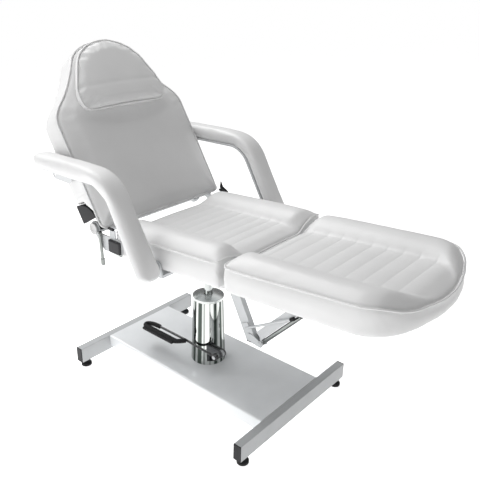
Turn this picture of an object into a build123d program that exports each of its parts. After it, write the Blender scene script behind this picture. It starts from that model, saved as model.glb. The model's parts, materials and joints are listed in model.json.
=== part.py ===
from build123d import *

import os
from math import acos, atan2, cos, degrees, hypot, pi, radians, sin, sqrt

# Hydraulic treatment chair, millimetres, +Z up.
# The origin is on the floor under the middle of the lifting column.
# +X runs toward the leg rest, +Y is the sitter's left.

# shared fits
OVERRUN = 2.0
SOFT_GAP = 0.3
RUN_GAP = 0.05
SIDE_GAP = 0.5
FREE_GAP = 1.0
EYE_GAP = 1.0

# base
BASE_LENGTH = 830.0
BASE_WIDTH = 600.0
TUBE_WIDTH = 30.0
TUBE_HEIGHT = 60.0
TUBE_WALL = 2.5
TUBE_CAP = 3.0
TUBE_PLUG = 14.0
FOOT_HEIGHT = 25.0
FOOT_RADIUS = 20.0
FOOT_RIM = 10.0
FOOT_NECK = 9.0
FOOT_INSET = 30.0
STUD_RADIUS = 5.0
STUD_LENGTH = 40.0
STUD_SEAT = 8.0
PLATE_WIDTH = 324.0
PLATE_WALL = 4.0
PLATE_FLANGE = 45.0
PLATE_BEND = 6.0

# column
SHROUD_FOOT_RADIUS = 64.0
SHROUD_TOP_RADIUS = 55.5
SHROUD_WALL = 2.0
SHROUD_HEIGHT = 258.0
CAP_OVERHANG = 2.0
CAP_SKIRT = 6.0
CAP_EDGE = 4.0
CAP_DOME = 6.0
SLOT_REACH = 80.0
SLOT_BOTTOM = 16.0
SLOT_TOP = 92.0
PUMP_RADIUS = 34.0
PUMP_FLANGE_RADIUS = 58.0
PUMP_FLANGE = 10.0
PUMP_BORE = 22.0
BOLT_CIRCLE = 46.0
BOLT_RADIUS = 5.0
BOLT_HEAD_RADIUS = 8.0
BOLT_HEAD = 6.0
BOLT_SIDES = 6
BOLTS = 4
ROD_RADIUS = 15.0
BUSH_LENGTH = 26.0
BUSH_LIP = 3.0
HEAD_LENGTH = 20.0
LIFT_UP = 110.0
STROKE_SPARE = 8.0

# foot pedal
PEDAL_X = 98.0
PEDAL_HEIGHT = 156.0
PEDAL_ROD_RADIUS = 4.5
PEDAL_ROD_Y = 70.0
PEDAL_ROD_RISE = 9.0
PEDAL_HUB_RADIUS = 13.0
PEDAL_HUB_WIDTH = 12.0
PEDAL_PIN_RADIUS = 6.0
PEDAL_PIN_HEAD = 3.0
PEDAL_REACH = 348.0
PEDAL_LOOP_WIDTH = 37.0
PEDAL_STRAIGHT = 288.0
PEDAL_REJOIN = 144.0
PEDAL_OUTER_NEAR = 170.0
PEDAL_OUTER_FAR = 330.0
GRIP_RADIUS = 8.5
GRIP_PAD_WIDTH = 30.0
GRIP_PAD_THICK = 11.0
GRIP_RIB_PITCH = 8.0
GRIP_RIB = 2.0
GRIP_RIB_HEIGHT = 2.0
BRACKET_PLATE = 5.0
BRACKET_INNER_Y = 26.0
BRACKET_DEPTH = 28.0
BRACKET_BLOCK_X = 22.0
BRACKET_BLOCK_BACK = 12.0
ARM_THICK = 11.0
PLUNGER_X = 32.0
PLUNGER_RADIUS = 5.0
PLUNGER_LENGTH = 40.0
BARREL_RADIUS = 9.0
BARREL_HEIGHT = 45.0
NOSE_RADIUS = 7.0

# seat
SEAT_HEIGHT = 552.0
SEAT_RAKE = 4.3
SEAT_REAR = 170.0
SEAT_FRONT = 290.0
SEAT_HALF = 270.0
SEAT_THICK = 86.0
BOLSTER_LINE = 148.0
BOLSTER_RISE = 19.0
BOLSTER_END_RISE = 7.0
CROWN_RUN = 32.0
CENTRE_REAR_DROP = 5.0
CENTRE_FRONT_DROP = 16.0
CENTRE_EDGE_DROP = 27.0
CENTRE_PUFF = 2.0
SEAM_DEPTH = 1.5
SEAT_SEAM_FIRST = 46.0
SEAT_SEAM_PITCH = 42.0
SEAT_SEAM_COUNT = 9
SIDE_TUCK = 4.0
BOARD = 12.0
BOARD_INSET = 30.0
BOARD_CORNER = 20.0
RAIL_Y = 110.0
RAIL_WIDTH = 40.0
RAIL_DEPTH = 30.0
RAIL_WALL = 2.0
RAIL_REAR = 205.0
RAIL_FRONT = 284.0
CROSS_WIDTH = 30.0
SADDLE_LENGTH = 220.0
SADDLE_WIDTH = 260.0
SADDLE_PLATE = 8.0
SOCKET_RADIUS = 28.0
SOCKET_BOTTOM = 405.0
SOCKET_BORE_TOP = 492.0

# leg rest
LEG_DROP = 4.0
LEG_REAR = 308.0
LEG_FRONT = 872.0
LEG_THICK = 85.0
LEG_TIP_THICK = 50.0
LEG_TIP_ROUND = 72.0
LEG_CENTRE_DROP = 15.0
LEG_SEAM_FIRST = 46.0
LEG_SEAM_PITCH = 52.5
LEG_SEAM_COUNT = 9
LEG_HINGE_U = 301.0
LEG_HINGE_DEPTH = 20.0
LEG_PIN_RADIUS = 5.0
LEG_RING_RADIUS = 12.0
LEG_EAR = 5.0
LEG_KNUCKLE = 15.0
LEG_RAIL_START = 322.0
LEG_RAIL_END = 780.0
LEG_RAIL_WIDTH = 30.0
LEG_CROSS = 30.0
PIN_HEAD = 3.0
PIN_HEAD_RADIUS = 8.0
# place along the curved front and half width there, as shares of the leg rest's
# length from its hinge end and of its half width, then the edge height as a share
# of the drop from full thickness to tip thickness
LEG_FRONT_SHARES = (
    (0.695, 1.0, 1.0),
    (0.76, 0.995, 1.0),
    (0.803, 0.981, 1.0),
    (0.853, 0.926, 0.85),
    (0.89, 0.85, 0.62),
    (0.926, 0.741, 0.35),
    (0.965, 0.519, 0.12),
    (0.988, 0.3, 0.03),
    (1.0, 0.12, 0.0),
)

# leg arm and stay
ARM_LEAN = 62.8
ARM_FOOT_X = 216.5
ARM_FOOT_Z = 241.0
ARM_DEPTH = 42.0
ARM_WIDTH = 22.0
ARM_WALL = 2.0
STAY_X = 254.0
STAY_Z = 250.0
STAY_ANGLE = 47.1
STAY_LENGTH = 416.0
STAY_EAR = 4.0
STAY_EAR_RADIUS = 12.0
STAY_PIN_RADIUS = 5.0
SLEEVE_LOW = 9.0
SLEEVE_DEPTH = 33.0
SLEEVE_WIDTH = 18.0
SLEEVE_WALL = 1.5
SLEEVE_START = 14.0
SLEEVE_END = 218.0
CYLINDER_RADIUS = 8.0
CYLINDER_START = 15.0
CYLINDER_END = 224.0
CYLINDER_BORE = 5.0
STAY_ROD_RADIUS = 4.0
STAY_ROD_LENGTH = 236.0
BAR_LENGTH = 213.0
BAR_SETBACK = 30.0
STAY_EYE_RADIUS = 10.0
STAY_EYE_WIDTH = 9.0
BRACKET_GAP = 12.0
BRACKET_WALL = 4.0
WINDOW_ALONG = 12.5
WINDOW_ACROSS = 11.0
BRACKET_REACH = 26.0
BRACKET_PLATE_HEIGHT = 4.0
BRACKET_PLATE_LENGTH = 76.0
STOP_START_X = 193.0
STOP_START_Z = 291.8
STOP_LENGTH = 222.0
STOP_SLOPE = 30.3
STOP_RADIUS = 4.5
STOP_OFFSET = 6.5
STOP_TAB = 30.0
STOP_TAB_DEPTH = 22.0
BUFFER_RADIUS = 7.0
BUFFER_LENGTH = 16.0
BUFFER_SEAT = 8.0

# back rest
BACK_X = -209.0
BACK_Z = 631.0
BACK_LEAN = 32.2
BACK_LENGTH = 650.0
BACK_OVERHANG = 17.0
BACK_FOAM = 50.0
BACK_PANEL = 48.0
BACK_CROWN = 12.0
BACK_CROWN_RUN = 62.0
NOTCH_RADIUS = 82.0
NOTCH_RISE = 31.0
NOTCH_INSET = 1.0
LINER = 2.0
COVER_WIDTH = 14.0
COVER_RISE = 48.0
# height up the back and half width there, as shares of its length and half width
BACK_FOOT_SHARES = ((0.0, 0.955), (0.006, 0.983), (0.018, 1.0))
BACK_SHOULDER_SHARES = (
    (0.592, 1.0),
    (0.63, 0.968),
    (0.663, 0.913),
    (0.69, 0.85),
    (0.715, 0.787),
    (0.762, 0.693),
    (0.831, 0.575),
    (0.883, 0.498),
    (0.923, 0.446),
    (0.95, 0.39),
    (0.972, 0.313),
    (0.988, 0.21),
    (1.0, 0.075),
)
BACK_PLAIN_STEPS = 6
FRAME_Y = 200.0
FRAME_WIDTH = 20.0
FRAME_DEPTH = 20.0
FRAME_WALL = 2.0
FRAME_START = 50.0
FRAME_END = 400.0
FRAME_CROSS = 25.0
SPRING_CROSS_START = 250.0
LUG_WIDTH = 12.0
LUG_RADIUS = 29.0
PILLOW_START = 395.0
PILLOW_LENGTH = 243.0
PILLOW_HALF = 190.0
PILLOW_THICK = 36.0
PILLOW_EDGE = 24.0
PILLOW_SHARES = (
    (0.0, 0.83, 0.72),
    (0.03, 0.93, 0.9),
    (0.08, 0.985, 0.98),
    (0.14, 1.0, 1.0),
    (0.24, 1.0, 1.0),
    (0.37, 0.947, 1.0),
    (0.5, 0.87, 1.0),
    (0.64, 0.784, 1.0),
    (0.75, 0.713, 0.97),
    (0.86, 0.58, 0.95),
    (0.94, 0.42, 0.88),
    (1.0, 0.2, 0.7),
)

# back hinge and gas spring
HINGE_X = -268.0
HINGE_Z = 615.0
HINGE_RADIUS = 20.0
HINGE_END = 7.0
HINGE_WALL = 3.0
HINGE_CAP = 3.0
HINGE_PLUG = 12.0
SIDE_PLATE = 5.0
HINGE_RING = 25.0
BEAM_X = -215.0
BEAM_Z = 547.0
BEAM_DEPTH = 34.0
BEAM_HEIGHT = 30.0
BRACKET_HEAD_X = -192.0
BRACKET_HEAD_Z = 631.0
BRACKET_HEAD_WIDTH = 27.0
BRACKET_BELLY = 43.0
BRACKET_TIP = 56.0
BRACKET_CAP = 7.0
BRACKET_CAP_LEAN = 6.0
BRACKET_CAP_WIDTH = 8.0
HOUSING_LENGTH = 56.0
HOUSING_HEIGHT = 41.0
HOUSING_WIDTH = 10.0
HOUSING_RISE = 10.0
HOUSING_LIP = 3.0
HOUSING_LIP_REACH = 6.0
STOP_SPACER = 12.0
STOP_PLATE = 4.0
STOP_PLATE_TOP_X = -203.0
STOP_PLATE_TOP_Z = 665.0
STOP_PLATE_HEEL_X = -207.0
STOP_PLATE_HEEL_Z = 641.0
SPRING_Y = -55.0
SPRING_RISE = 228.0
SPRING_BEHIND = 12.0
SPRING_RADIUS = 11.0
SPRING_START = 25.0
SPRING_END = 228.0
SPRING_ROD_RADIUS = 5.0
SPRING_ROD_LENGTH = 205.0
SPRING_BORE = 9.0
SPRING_EYE = 9.0
SPRING_EYE_WIDTH = 14.0
SPRING_PIN_RADIUS = 5.0
SPRING_EAR = 4.0
SPRING_EAR_GAP = 12.5
RECLINE_BACK = 58.0
RECLINE_UP = 12.0
LEVER_X = -236.0
LEVER_Z = 606.0
LEVER_HUB = 8.0
LEVER_HUB_WIDTH = 12.0
LEVER_ROD_RADIUS = 5.5
LEVER_LENGTH = 100.0
LEVER_ANGLE = -86.0
LEVER_KNOB_RADIUS = 7.5
LEVER_KNOB = 18.0
LEVER_PIN_RADIUS = 3.0
LEVER_PIN_HEAD = 2.0

# armrests
ARM_CORNER_X = -98.0
ARM_CORNER_Z = 840.0
ARM_REAR_LENGTH = 367.0
ARM_FRONT_LENGTH = 337.0
ARM_RISE = 1.4
ARM_DIVE = 59.7
ARM_BEND = 120.0
PAD_CLEARANCE = 16.0
PAD_WIDTH = 84.0
PAD_THICK = 43.0
PAD_ROUND = 18.0
PAD_REAR_ROUND = 34.0
STRAP_CLEARANCE = 24.0
STRAP_WIDTH = 50.0
STRAP_THICK = 8.0
STRAP_REAR_INSET = 22.0
STRAP_FRONT_INSET = 16.0
TAB_CLEARANCE = 6.0
TAB_THICK = 8.0
TAB_RADIUS = 16.0
TAB_RUN = 44.0
PIVOT_X = 35.0
PIVOT_Z = 572.0
PIVOT_RADIUS = 6.0
PIVOT_COLLAR = 10.0
PIVOT_PLATE_RADIUS = 17.0
OUTRIGGER_THICK = 10.0
OUTRIGGER_LENGTH = 44.0
ARM_RATIO = 0.32
TRACK_PIN_RISE = 226.0
TRACK_PIN_INSET = 9.0
TRACK_PIN_RADIUS = 5.0
TRACK_PIN_HEAD = 7.5
TRACK_PIN_HEAD_THICK = 3.0
TRACK_PIN_SEAT = 40.0
TRACK_THICK = 4.0
TRACK_MARGIN = 9.0
TRACK_STEPS = 12

# derived places
TUBE_TOP = FOOT_HEIGHT + TUBE_HEIGHT
SHROUD_TOP = TUBE_TOP + SHROUD_HEIGHT
SEAT_PLANE = Plane(
    origin=(0, 0, SEAT_HEIGHT),
    x_dir=(cos(radians(SEAT_RAKE)), 0, sin(radians(SEAT_RAKE))),
    z_dir=(-sin(radians(SEAT_RAKE)), 0, cos(radians(SEAT_RAKE))),
)
LEG_PLANE = SEAT_PLANE.offset(-LEG_DROP)
BACK_PLANE = Plane(
    origin=(BACK_X, 0, BACK_Z),
    x_dir=(-sin(radians(BACK_LEAN)), 0, cos(radians(BACK_LEAN))),
    z_dir=(-cos(radians(BACK_LEAN)), 0, -sin(radians(BACK_LEAN))),
)
BACK_REAR = BACK_FOAM + BACK_PANEL
NOTCH_DEPTH = BACK_REAR - NOTCH_INSET
LIP_THICK = NOTCH_DEPTH - NOTCH_RADIUS
PANEL_START = NOTCH_RISE + NOTCH_RADIUS
PUMP_TOP = SHROUD_TOP - BUSH_LIP
RAIL_LOW = -BOARD - RAIL_DEPTH
SIDE_PLATE_Y = SEAT_HALF + FREE_GAP
SIDE_OUTER = SIDE_PLATE_Y + SIDE_PLATE
BACK_HALF = SEAT_HALF + BACK_OVERHANG
HINGE_HALF = SIDE_OUTER + HINGE_END
STOP_PLATE_Y = SIDE_OUTER + STOP_SPACER
TAB_Y = SIDE_OUTER + TAB_CLEARANCE
PAD_Y = SIDE_OUTER + PAD_CLEARANCE
STRAP_Y = SIDE_OUTER + STRAP_CLEARANCE


def seat_point(u, w):
    """World x and z of a place in the raked seat plane."""
    place = SEAT_PLANE.from_local_coords(Vector(u, 0, w))
    return place.X, place.Z


def back_point(s, e):
    """World x and z of a place up the back and behind its front plane."""
    place = BACK_PLANE.from_local_coords(Vector(s, 0, e))
    return place.X, place.Z


def back_place(x, z):
    """Height up the back and depth behind its front plane of a world point."""
    place = BACK_PLANE.to_local_coords(Vector(x, 0, z))
    return place.X, place.Z


def along(x, z, angle, distance, aside=0):
    """A point at a distance along a direction in the XZ plane and to its left."""
    turn = radians(angle)
    return (
        x + distance * cos(turn) - aside * sin(turn),
        z + distance * sin(turn) + aside * cos(turn),
    )


LEG_HINGE_X, LEG_HINGE_Z = seat_point(LEG_HINGE_U, -LEG_HINGE_DEPTH)
STAY_TIP_X, STAY_TIP_Z = along(STAY_X, STAY_Z, STAY_ANGLE, STAY_LENGTH)
SPRING_TOP_DEPTH = BACK_REAR + SPRING_BEHIND
SPRING_TOP_X, SPRING_TOP_Z = back_point(SPRING_RISE, SPRING_TOP_DEPTH)
SPRING_ARM = hypot(SPRING_TOP_X - HINGE_X, SPRING_TOP_Z - HINGE_Z)
SPRING_FOOT_X = HINGE_X
SPRING_FOOT_Z = HINGE_Z - SPRING_ARM
SPRING_ANGLE = degrees(atan2(SPRING_TOP_Z - SPRING_FOOT_Z, SPRING_TOP_X - SPRING_FOOT_X))
SPRING_SPAN = hypot(SPRING_TOP_X - SPRING_FOOT_X, SPRING_TOP_Z - SPRING_FOOT_Z)
TRACK_PIN_DEPTH = BACK_FOAM + TRACK_PIN_INSET
TRACK_X, TRACK_Z = back_point(TRACK_PIN_RISE, TRACK_PIN_DEPTH)
HINGE_RISE, HINGE_DEPTH = back_place(HINGE_X, HINGE_Z)


def block(x_span, y_span, z_span):
    """A box from its low and high place on each axis."""
    spans = (x_span, y_span, z_span)
    sizes = [high - low for low, high in spans]
    middles = [(high + low) / 2 for low, high in spans]
    return Pos(*middles) * Box(*sizes)


def rod_y(x, z, radius, y_span):
    """A round bar lying across the chair."""
    low, high = y_span
    return Pos(x, (low + high) / 2, z) * Rot(90, 0, 0) * Cylinder(radius, high - low)


def rod_between(start, end, radius):
    """A round bar from one point to another."""
    way = Vector(*end) - Vector(*start)
    seat = Plane(origin=start, z_dir=way)
    return seat.location * Cylinder(radius, way.length, align=(Align.CENTER, Align.CENTER, Align.MIN))


def plate_y(points, y_span):
    """A flat plate with an outline of x and z points, thick across the chair."""
    low, high = y_span
    outline = Polyline(*[(x, low, z) for x, z in points], close=True)
    return extrude(make_face(outline), amount=high - low, dir=(0, 1, 0))


def both_sides(piece):
    """A piece and its mirror image on the other side of the chair."""
    return piece + mirror(piece, about=Plane.XZ)


def hollow_block(x_span, y_span, z_span, wall, axis):
    """A rectangular tube that runs along one axis."""
    spans = [x_span, y_span, z_span]
    inner = [(low + wall, high - wall) for low, high in spans]
    inner[axis] = (spans[axis][0] - OVERRUN, spans[axis][1] + OVERRUN)
    return block(*spans) - block(*inner)


# base
def base_cross_tube(side):
    """One floor tube across the chair, hollow, with holes for its foot studs."""
    outer = side * BASE_LENGTH / 2
    inner = outer - side * TUBE_WIDTH
    half = BASE_WIDTH / 2 - TUBE_CAP
    spans = (sorted((inner, outer)), (-half, half), (FOOT_HEIGHT, TUBE_TOP))
    tube = hollow_block(*spans, TUBE_WALL, 1)
    tube = fillet(tube.edges().filter_by(Axis.Y).group_by(Axis.Z)[-1], TUBE_WALL)
    for y in foot_places():
        hole = Cylinder(STUD_RADIUS + RUN_GAP, TUBE_HEIGHT)
        tube -= Pos(tube_middle(side), y, FOOT_HEIGHT) * hole
    return tube


def tube_middle(side):
    """The middle line of a floor tube."""
    return side * (BASE_LENGTH - TUBE_WIDTH) / 2


def foot_places():
    """How far each foot stands to the side."""
    place = BASE_WIDTH / 2 - FOOT_INSET
    return (-place, place)


def tube_end_caps():
    """Four black plugs that close the floor tubes."""
    caps = []
    half = BASE_WIDTH / 2
    inset = TUBE_WALL + RUN_GAP
    for side in (-1, 1):
        x_span = (tube_middle(side) - TUBE_WIDTH / 2, tube_middle(side) + TUBE_WIDTH / 2)
        face = block(x_span, (half - TUBE_CAP, half), (FOOT_HEIGHT, TUBE_TOP))
        plug = block(
            (x_span[0] + inset, x_span[1] - inset),
            (half - TUBE_CAP - TUBE_PLUG, half - TUBE_CAP),
            (FOOT_HEIGHT + inset, TUBE_TOP - inset),
        )
        cap = face + plug
        caps.append(both_sides(cap))
    return caps[0] + caps[1]


def foot_pads():
    """Four rubber feet."""
    profile = Polyline(
        (0, 0, 0),
        (FOOT_RADIUS, 0, 0),
        (FOOT_RADIUS, 0, FOOT_RIM),
        (FOOT_NECK, 0, FOOT_RIM + FOOT_RIM / 2),
        (FOOT_NECK, 0, FOOT_HEIGHT),
        (0, 0, FOOT_HEIGHT),
        close=True,
    )
    foot = revolve(make_face(profile), Axis.Z)
    bore = Pos(0, 0, STUD_SEAT) * Cylinder(
        STUD_RADIUS + RUN_GAP, FOOT_HEIGHT, align=(Align.CENTER, Align.CENTER, Align.MIN)
    )
    foot -= bore
    return Compound([Pos(tube_middle(side), y, 0) * foot for side in (-1, 1) for y in foot_places()])


def foot_studs():
    """Four threaded studs that hold the feet in the tubes."""
    stud = Pos(0, 0, STUD_SEAT) * Cylinder(
        STUD_RADIUS, STUD_LENGTH, align=(Align.CENTER, Align.CENTER, Align.MIN)
    )
    return Compound([Pos(tube_middle(side), y, 0) * stud for side in (-1, 1) for y in foot_places()])


def base_plate():
    """The folded steel plate between the floor tubes."""
    half_x = BASE_LENGTH / 2 - TUBE_WIDTH
    half_y = PLATE_WIDTH / 2
    skin = block((-half_x, half_x), (-half_y, half_y), (TUBE_TOP - PLATE_FLANGE, TUBE_TOP))
    skin = fillet(skin.edges().filter_by(Axis.X).group_by(Axis.Z)[-1], PLATE_BEND)
    inner_y = half_y - PLATE_WALL
    hollow = block(
        (-half_x - OVERRUN, half_x + OVERRUN),
        (-inner_y, inner_y),
        (TUBE_TOP - PLATE_FLANGE - OVERRUN, TUBE_TOP - PLATE_WALL),
    )
    hollow = fillet(hollow.edges().filter_by(Axis.X).group_by(Axis.Z)[-1], PLATE_BEND - PLATE_WALL)
    plate = skin - hollow
    for x, y in bolt_places():
        plate -= Pos(x, y, TUBE_TOP) * Cylinder(BOLT_RADIUS + RUN_GAP, PLATE_FLANGE)
    return plate


# column
def bolt_places():
    """The bolt circle that holds the pump to the base plate."""
    turns = [2 * pi * index / BOLTS for index in range(BOLTS)]
    return [(BOLT_CIRCLE * cos(turn), BOLT_CIRCLE * sin(turn)) for turn in turns]


def column_cover():
    """The tapered chrome shroud with its slot for the pedal linkage."""
    outer = Cone(SHROUD_FOOT_RADIUS, SHROUD_TOP_RADIUS, SHROUD_HEIGHT)
    inner = Cone(SHROUD_FOOT_RADIUS - SHROUD_WALL, SHROUD_TOP_RADIUS - SHROUD_WALL, SHROUD_HEIGHT)
    shell = Pos(0, 0, TUBE_TOP + SHROUD_HEIGHT / 2) * (outer - inner)
    slot = block(
        (0, SLOT_REACH),
        (-slot_outer_y(), -BRACKET_INNER_Y + SIDE_GAP),
        (TUBE_TOP + SLOT_BOTTOM, TUBE_TOP + SLOT_TOP),
    )
    return shell - slot


def slot_outer_y():
    """How far to the side the shroud's slot reaches."""
    return BRACKET_INNER_Y + 2 * BRACKET_PLATE + ARM_THICK + 2 * EYE_GAP + SIDE_GAP


def column_cap():
    """The domed chrome cap on the shroud."""
    radius = SHROUD_TOP_RADIUS + CAP_OVERHANG
    bore = ROD_RADIUS + FREE_GAP
    skirt = SHROUD_TOP_RADIUS + SOFT_GAP
    low = SHROUD_TOP - CAP_SKIRT
    rim = SHROUD_TOP + CAP_EDGE
    top = rim + CAP_DOME
    edge = Polyline((bore, 0, top), (bore, 0, SHROUD_TOP), (skirt, 0, SHROUD_TOP), (skirt, 0, low))
    side = Polyline((skirt, 0, low), (radius, 0, low), (radius, 0, rim))
    middle = (bore + radius) / 2
    dome = ThreePointArc((radius, 0, rim), (middle, 0, rim + CAP_DOME * 3 / 4), (bore, 0, top))
    return revolve(make_face(edge + side + dome), Axis.Z)


def pump_body():
    """The flanged foot and outer tube of the hydraulic pump."""
    stand = (Align.CENTER, Align.CENTER, Align.MIN)
    flange = Pos(0, 0, TUBE_TOP) * Cylinder(PUMP_FLANGE_RADIUS, PUMP_FLANGE, align=stand)
    height = PUMP_TOP - TUBE_TOP
    tube = Pos(0, 0, TUBE_TOP) * Cylinder(PUMP_RADIUS, height, align=stand)
    body = flange + tube
    floor = TUBE_TOP + PUMP_FLANGE + PLATE_WALL
    body -= Pos(0, 0, floor) * Cylinder(PUMP_BORE, height, align=stand)
    for x, y in bolt_places():
        body -= Pos(x, y, TUBE_TOP) * Cylinder(BOLT_RADIUS + RUN_GAP, PUMP_TOP)
        body -= Pos(x, y, TUBE_TOP + PUMP_FLANGE) * Cylinder(
            BOLT_HEAD_RADIUS + FREE_GAP, height, align=stand
        )
    barrel = Pos(PLUNGER_X, -plunger_y(), TUBE_TOP) * Cylinder(BARREL_RADIUS, BARREL_HEIGHT, align=stand)
    body += barrel
    bore = Pos(PLUNGER_X, -plunger_y(), TUBE_TOP + PUMP_FLANGE) * Cylinder(
        PLUNGER_RADIUS + RUN_GAP, BARREL_HEIGHT, align=stand
    )
    return body - bore


def plunger_y():
    """Distance of the pump plunger and its driving arm from the middle plane."""
    return BRACKET_INNER_Y + BRACKET_PLATE + EYE_GAP + ARM_THICK / 2


def pump_bolts():
    """Hexagon bolts through the pump flange and the base plate."""
    stand = (Align.CENTER, Align.CENTER, Align.MIN)
    head = extrude(RegularPolygon(BOLT_HEAD_RADIUS, BOLT_SIDES), amount=BOLT_HEAD)
    length = PUMP_FLANGE + PLATE_WALL + BOLT_HEAD
    shank = Pos(0, 0, -length) * Cylinder(BOLT_RADIUS, length, align=stand)
    bolt = head + shank
    seat = TUBE_TOP + PUMP_FLANGE
    return Compound([Pos(x, y, seat) * bolt for x, y in bolt_places()])


def guide_bush():
    """The bush that guides the piston rod in the top of the pump."""
    stand = (Align.CENTER, Align.CENTER, Align.MIN)
    plug = Pos(0, 0, PUMP_TOP - BUSH_LENGTH) * Cylinder(PUMP_BORE - RUN_GAP, BUSH_LENGTH, align=stand)
    lip = Pos(0, 0, PUMP_TOP) * Cylinder(PUMP_RADIUS, BUSH_LIP, align=stand)
    bore = Pos(0, 0, PUMP_TOP - 2 * BUSH_LENGTH) * Cylinder(
        ROD_RADIUS + RUN_GAP, 3 * BUSH_LENGTH, align=stand
    )
    return plug + lip - bore


def piston_head():
    """The piston on the lower end of the rod."""
    top = PUMP_TOP - BUSH_LENGTH - LIFT_UP - STROKE_SPARE
    disc = Cylinder(PUMP_BORE - RUN_GAP, HEAD_LENGTH, align=(Align.CENTER, Align.CENTER, Align.MAX))
    bore = Cylinder(
        ROD_RADIUS - RUN_GAP, HEAD_LENGTH / 2, align=(Align.CENTER, Align.CENTER, Align.MAX)
    )
    return Pos(0, 0, top) * (disc - bore)


def piston_rod():
    """The polished lifting rod, stepped to fit the piston."""
    stand = (Align.CENTER, Align.CENTER, Align.MIN)
    top = PUMP_TOP - BUSH_LENGTH - LIFT_UP - STROKE_SPARE
    tail = Pos(0, 0, top - HEAD_LENGTH / 2) * Cylinder(
        ROD_RADIUS - 2 * RUN_GAP, HEAD_LENGTH, align=stand
    )
    rod = Pos(0, 0, top) * Cylinder(ROD_RADIUS, SOCKET_BORE_TOP - RUN_GAP - top, align=stand)
    return rod + tail


# foot pedal
def pedal_bracket():
    """The fork on the pump that carries the pedal pin outside the shroud."""
    inner = BRACKET_INNER_Y
    outer = slot_outer_y() - SIDE_GAP
    low = PEDAL_HEIGHT - BRACKET_DEPTH / 2
    high = PEDAL_HEIGHT + BRACKET_DEPTH / 2
    body = block((-BRACKET_BLOCK_BACK, BRACKET_BLOCK_X), (-outer, 0), (low, high))
    body -= Pos(0, 0, PEDAL_HEIGHT) * Cylinder(PUMP_RADIUS, SHROUD_HEIGHT)
    for near in (inner, outer - BRACKET_PLATE):
        y_span = (-near - BRACKET_PLATE, -near)
        cheek = block((BRACKET_BLOCK_X, PEDAL_X), y_span, (low, high))
        cheek += rod_y(PEDAL_X, PEDAL_HEIGHT, BRACKET_DEPTH / 2, y_span)
        cheek -= Pos(0, 0, PEDAL_HEIGHT) * Cylinder(PUMP_RADIUS, SHROUD_HEIGHT)
        body += cheek
    full = (-SLOT_REACH, 0)
    body -= rod_y(PEDAL_X, PEDAL_HEIGHT, PEDAL_PIN_RADIUS + RUN_GAP, full)
    return body


def pedal_route():
    """The middle line of the pedal's bent rod in plan, seen from the pin."""
    rise = PEDAL_ROD_RISE
    height = PEDAL_HEIGHT + rise
    near = -PEDAL_ROD_Y
    far = near - PEDAL_LOOP_WIDTH
    return (
        (PEDAL_X, near, PEDAL_HEIGHT),
        (PEDAL_X - PEDAL_REJOIN, near, height),
        (PEDAL_X - PEDAL_STRAIGHT, near, height),
        (PEDAL_X - PEDAL_REACH, (near + far) / 2, height),
        (PEDAL_X - PEDAL_OUTER_FAR, far, height),
        (PEDAL_X - PEDAL_OUTER_NEAR, far, height),
        (PEDAL_X - PEDAL_REJOIN, near, height),
    )


def pedal_rod():
    """The pedal's hub and its straight rod."""
    hub_near = PEDAL_ROD_Y - PEDAL_HUB_WIDTH / 2
    hub_span = (-hub_near - PEDAL_HUB_WIDTH, -hub_near)
    body = rod_y(PEDAL_X, PEDAL_HEIGHT, PEDAL_HUB_RADIUS, hub_span)
    points = pedal_route()
    body += rod_between(points[0], points[1], PEDAL_ROD_RADIUS)
    body += rod_between(points[1], points[2], PEDAL_ROD_RADIUS)
    body += Pos(*points[1]) * Sphere(PEDAL_ROD_RADIUS)
    body -= rod_y(PEDAL_X, PEDAL_HEIGHT, PEDAL_PIN_RADIUS + RUN_GAP, hub_span)
    return body


def pedal_crank():
    """The pin that turns in the fork, with the arm inside that pushes the plunger."""
    y_span = (-plunger_y() - ARM_THICK / 2, -plunger_y() + ARM_THICK / 2)
    body = rod_y(PEDAL_X, PEDAL_HEIGHT, PEDAL_HUB_RADIUS, y_span)
    body += block((PLUNGER_X, PEDAL_X), y_span, (PEDAL_HEIGHT - NOSE_RADIUS, PEDAL_HEIGHT + NOSE_RADIUS))
    body += rod_y(PLUNGER_X, PEDAL_HEIGHT, NOSE_RADIUS, y_span)
    outer = PEDAL_ROD_Y + PEDAL_HUB_WIDTH / 2 + RUN_GAP
    inner = BRACKET_INNER_Y - PEDAL_PIN_HEAD - SIDE_GAP
    body += rod_y(PEDAL_X, PEDAL_HEIGHT, PEDAL_PIN_RADIUS, (-outer - PEDAL_PIN_HEAD, -inner))
    for near in (inner, outer):
        body += rod_y(PEDAL_X, PEDAL_HEIGHT, PEDAL_PIN_RADIUS + EYE_GAP, (-near - PEDAL_PIN_HEAD, -near))
    return body


def pump_plunger():
    """The small plunger that the arm presses down."""
    top = PEDAL_HEIGHT - NOSE_RADIUS - SOFT_GAP
    return Pos(PLUNGER_X, -plunger_y(), top) * Cylinder(
        PLUNGER_RADIUS, PLUNGER_LENGTH, align=(Align.CENTER, Align.CENTER, Align.MAX)
    )


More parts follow.
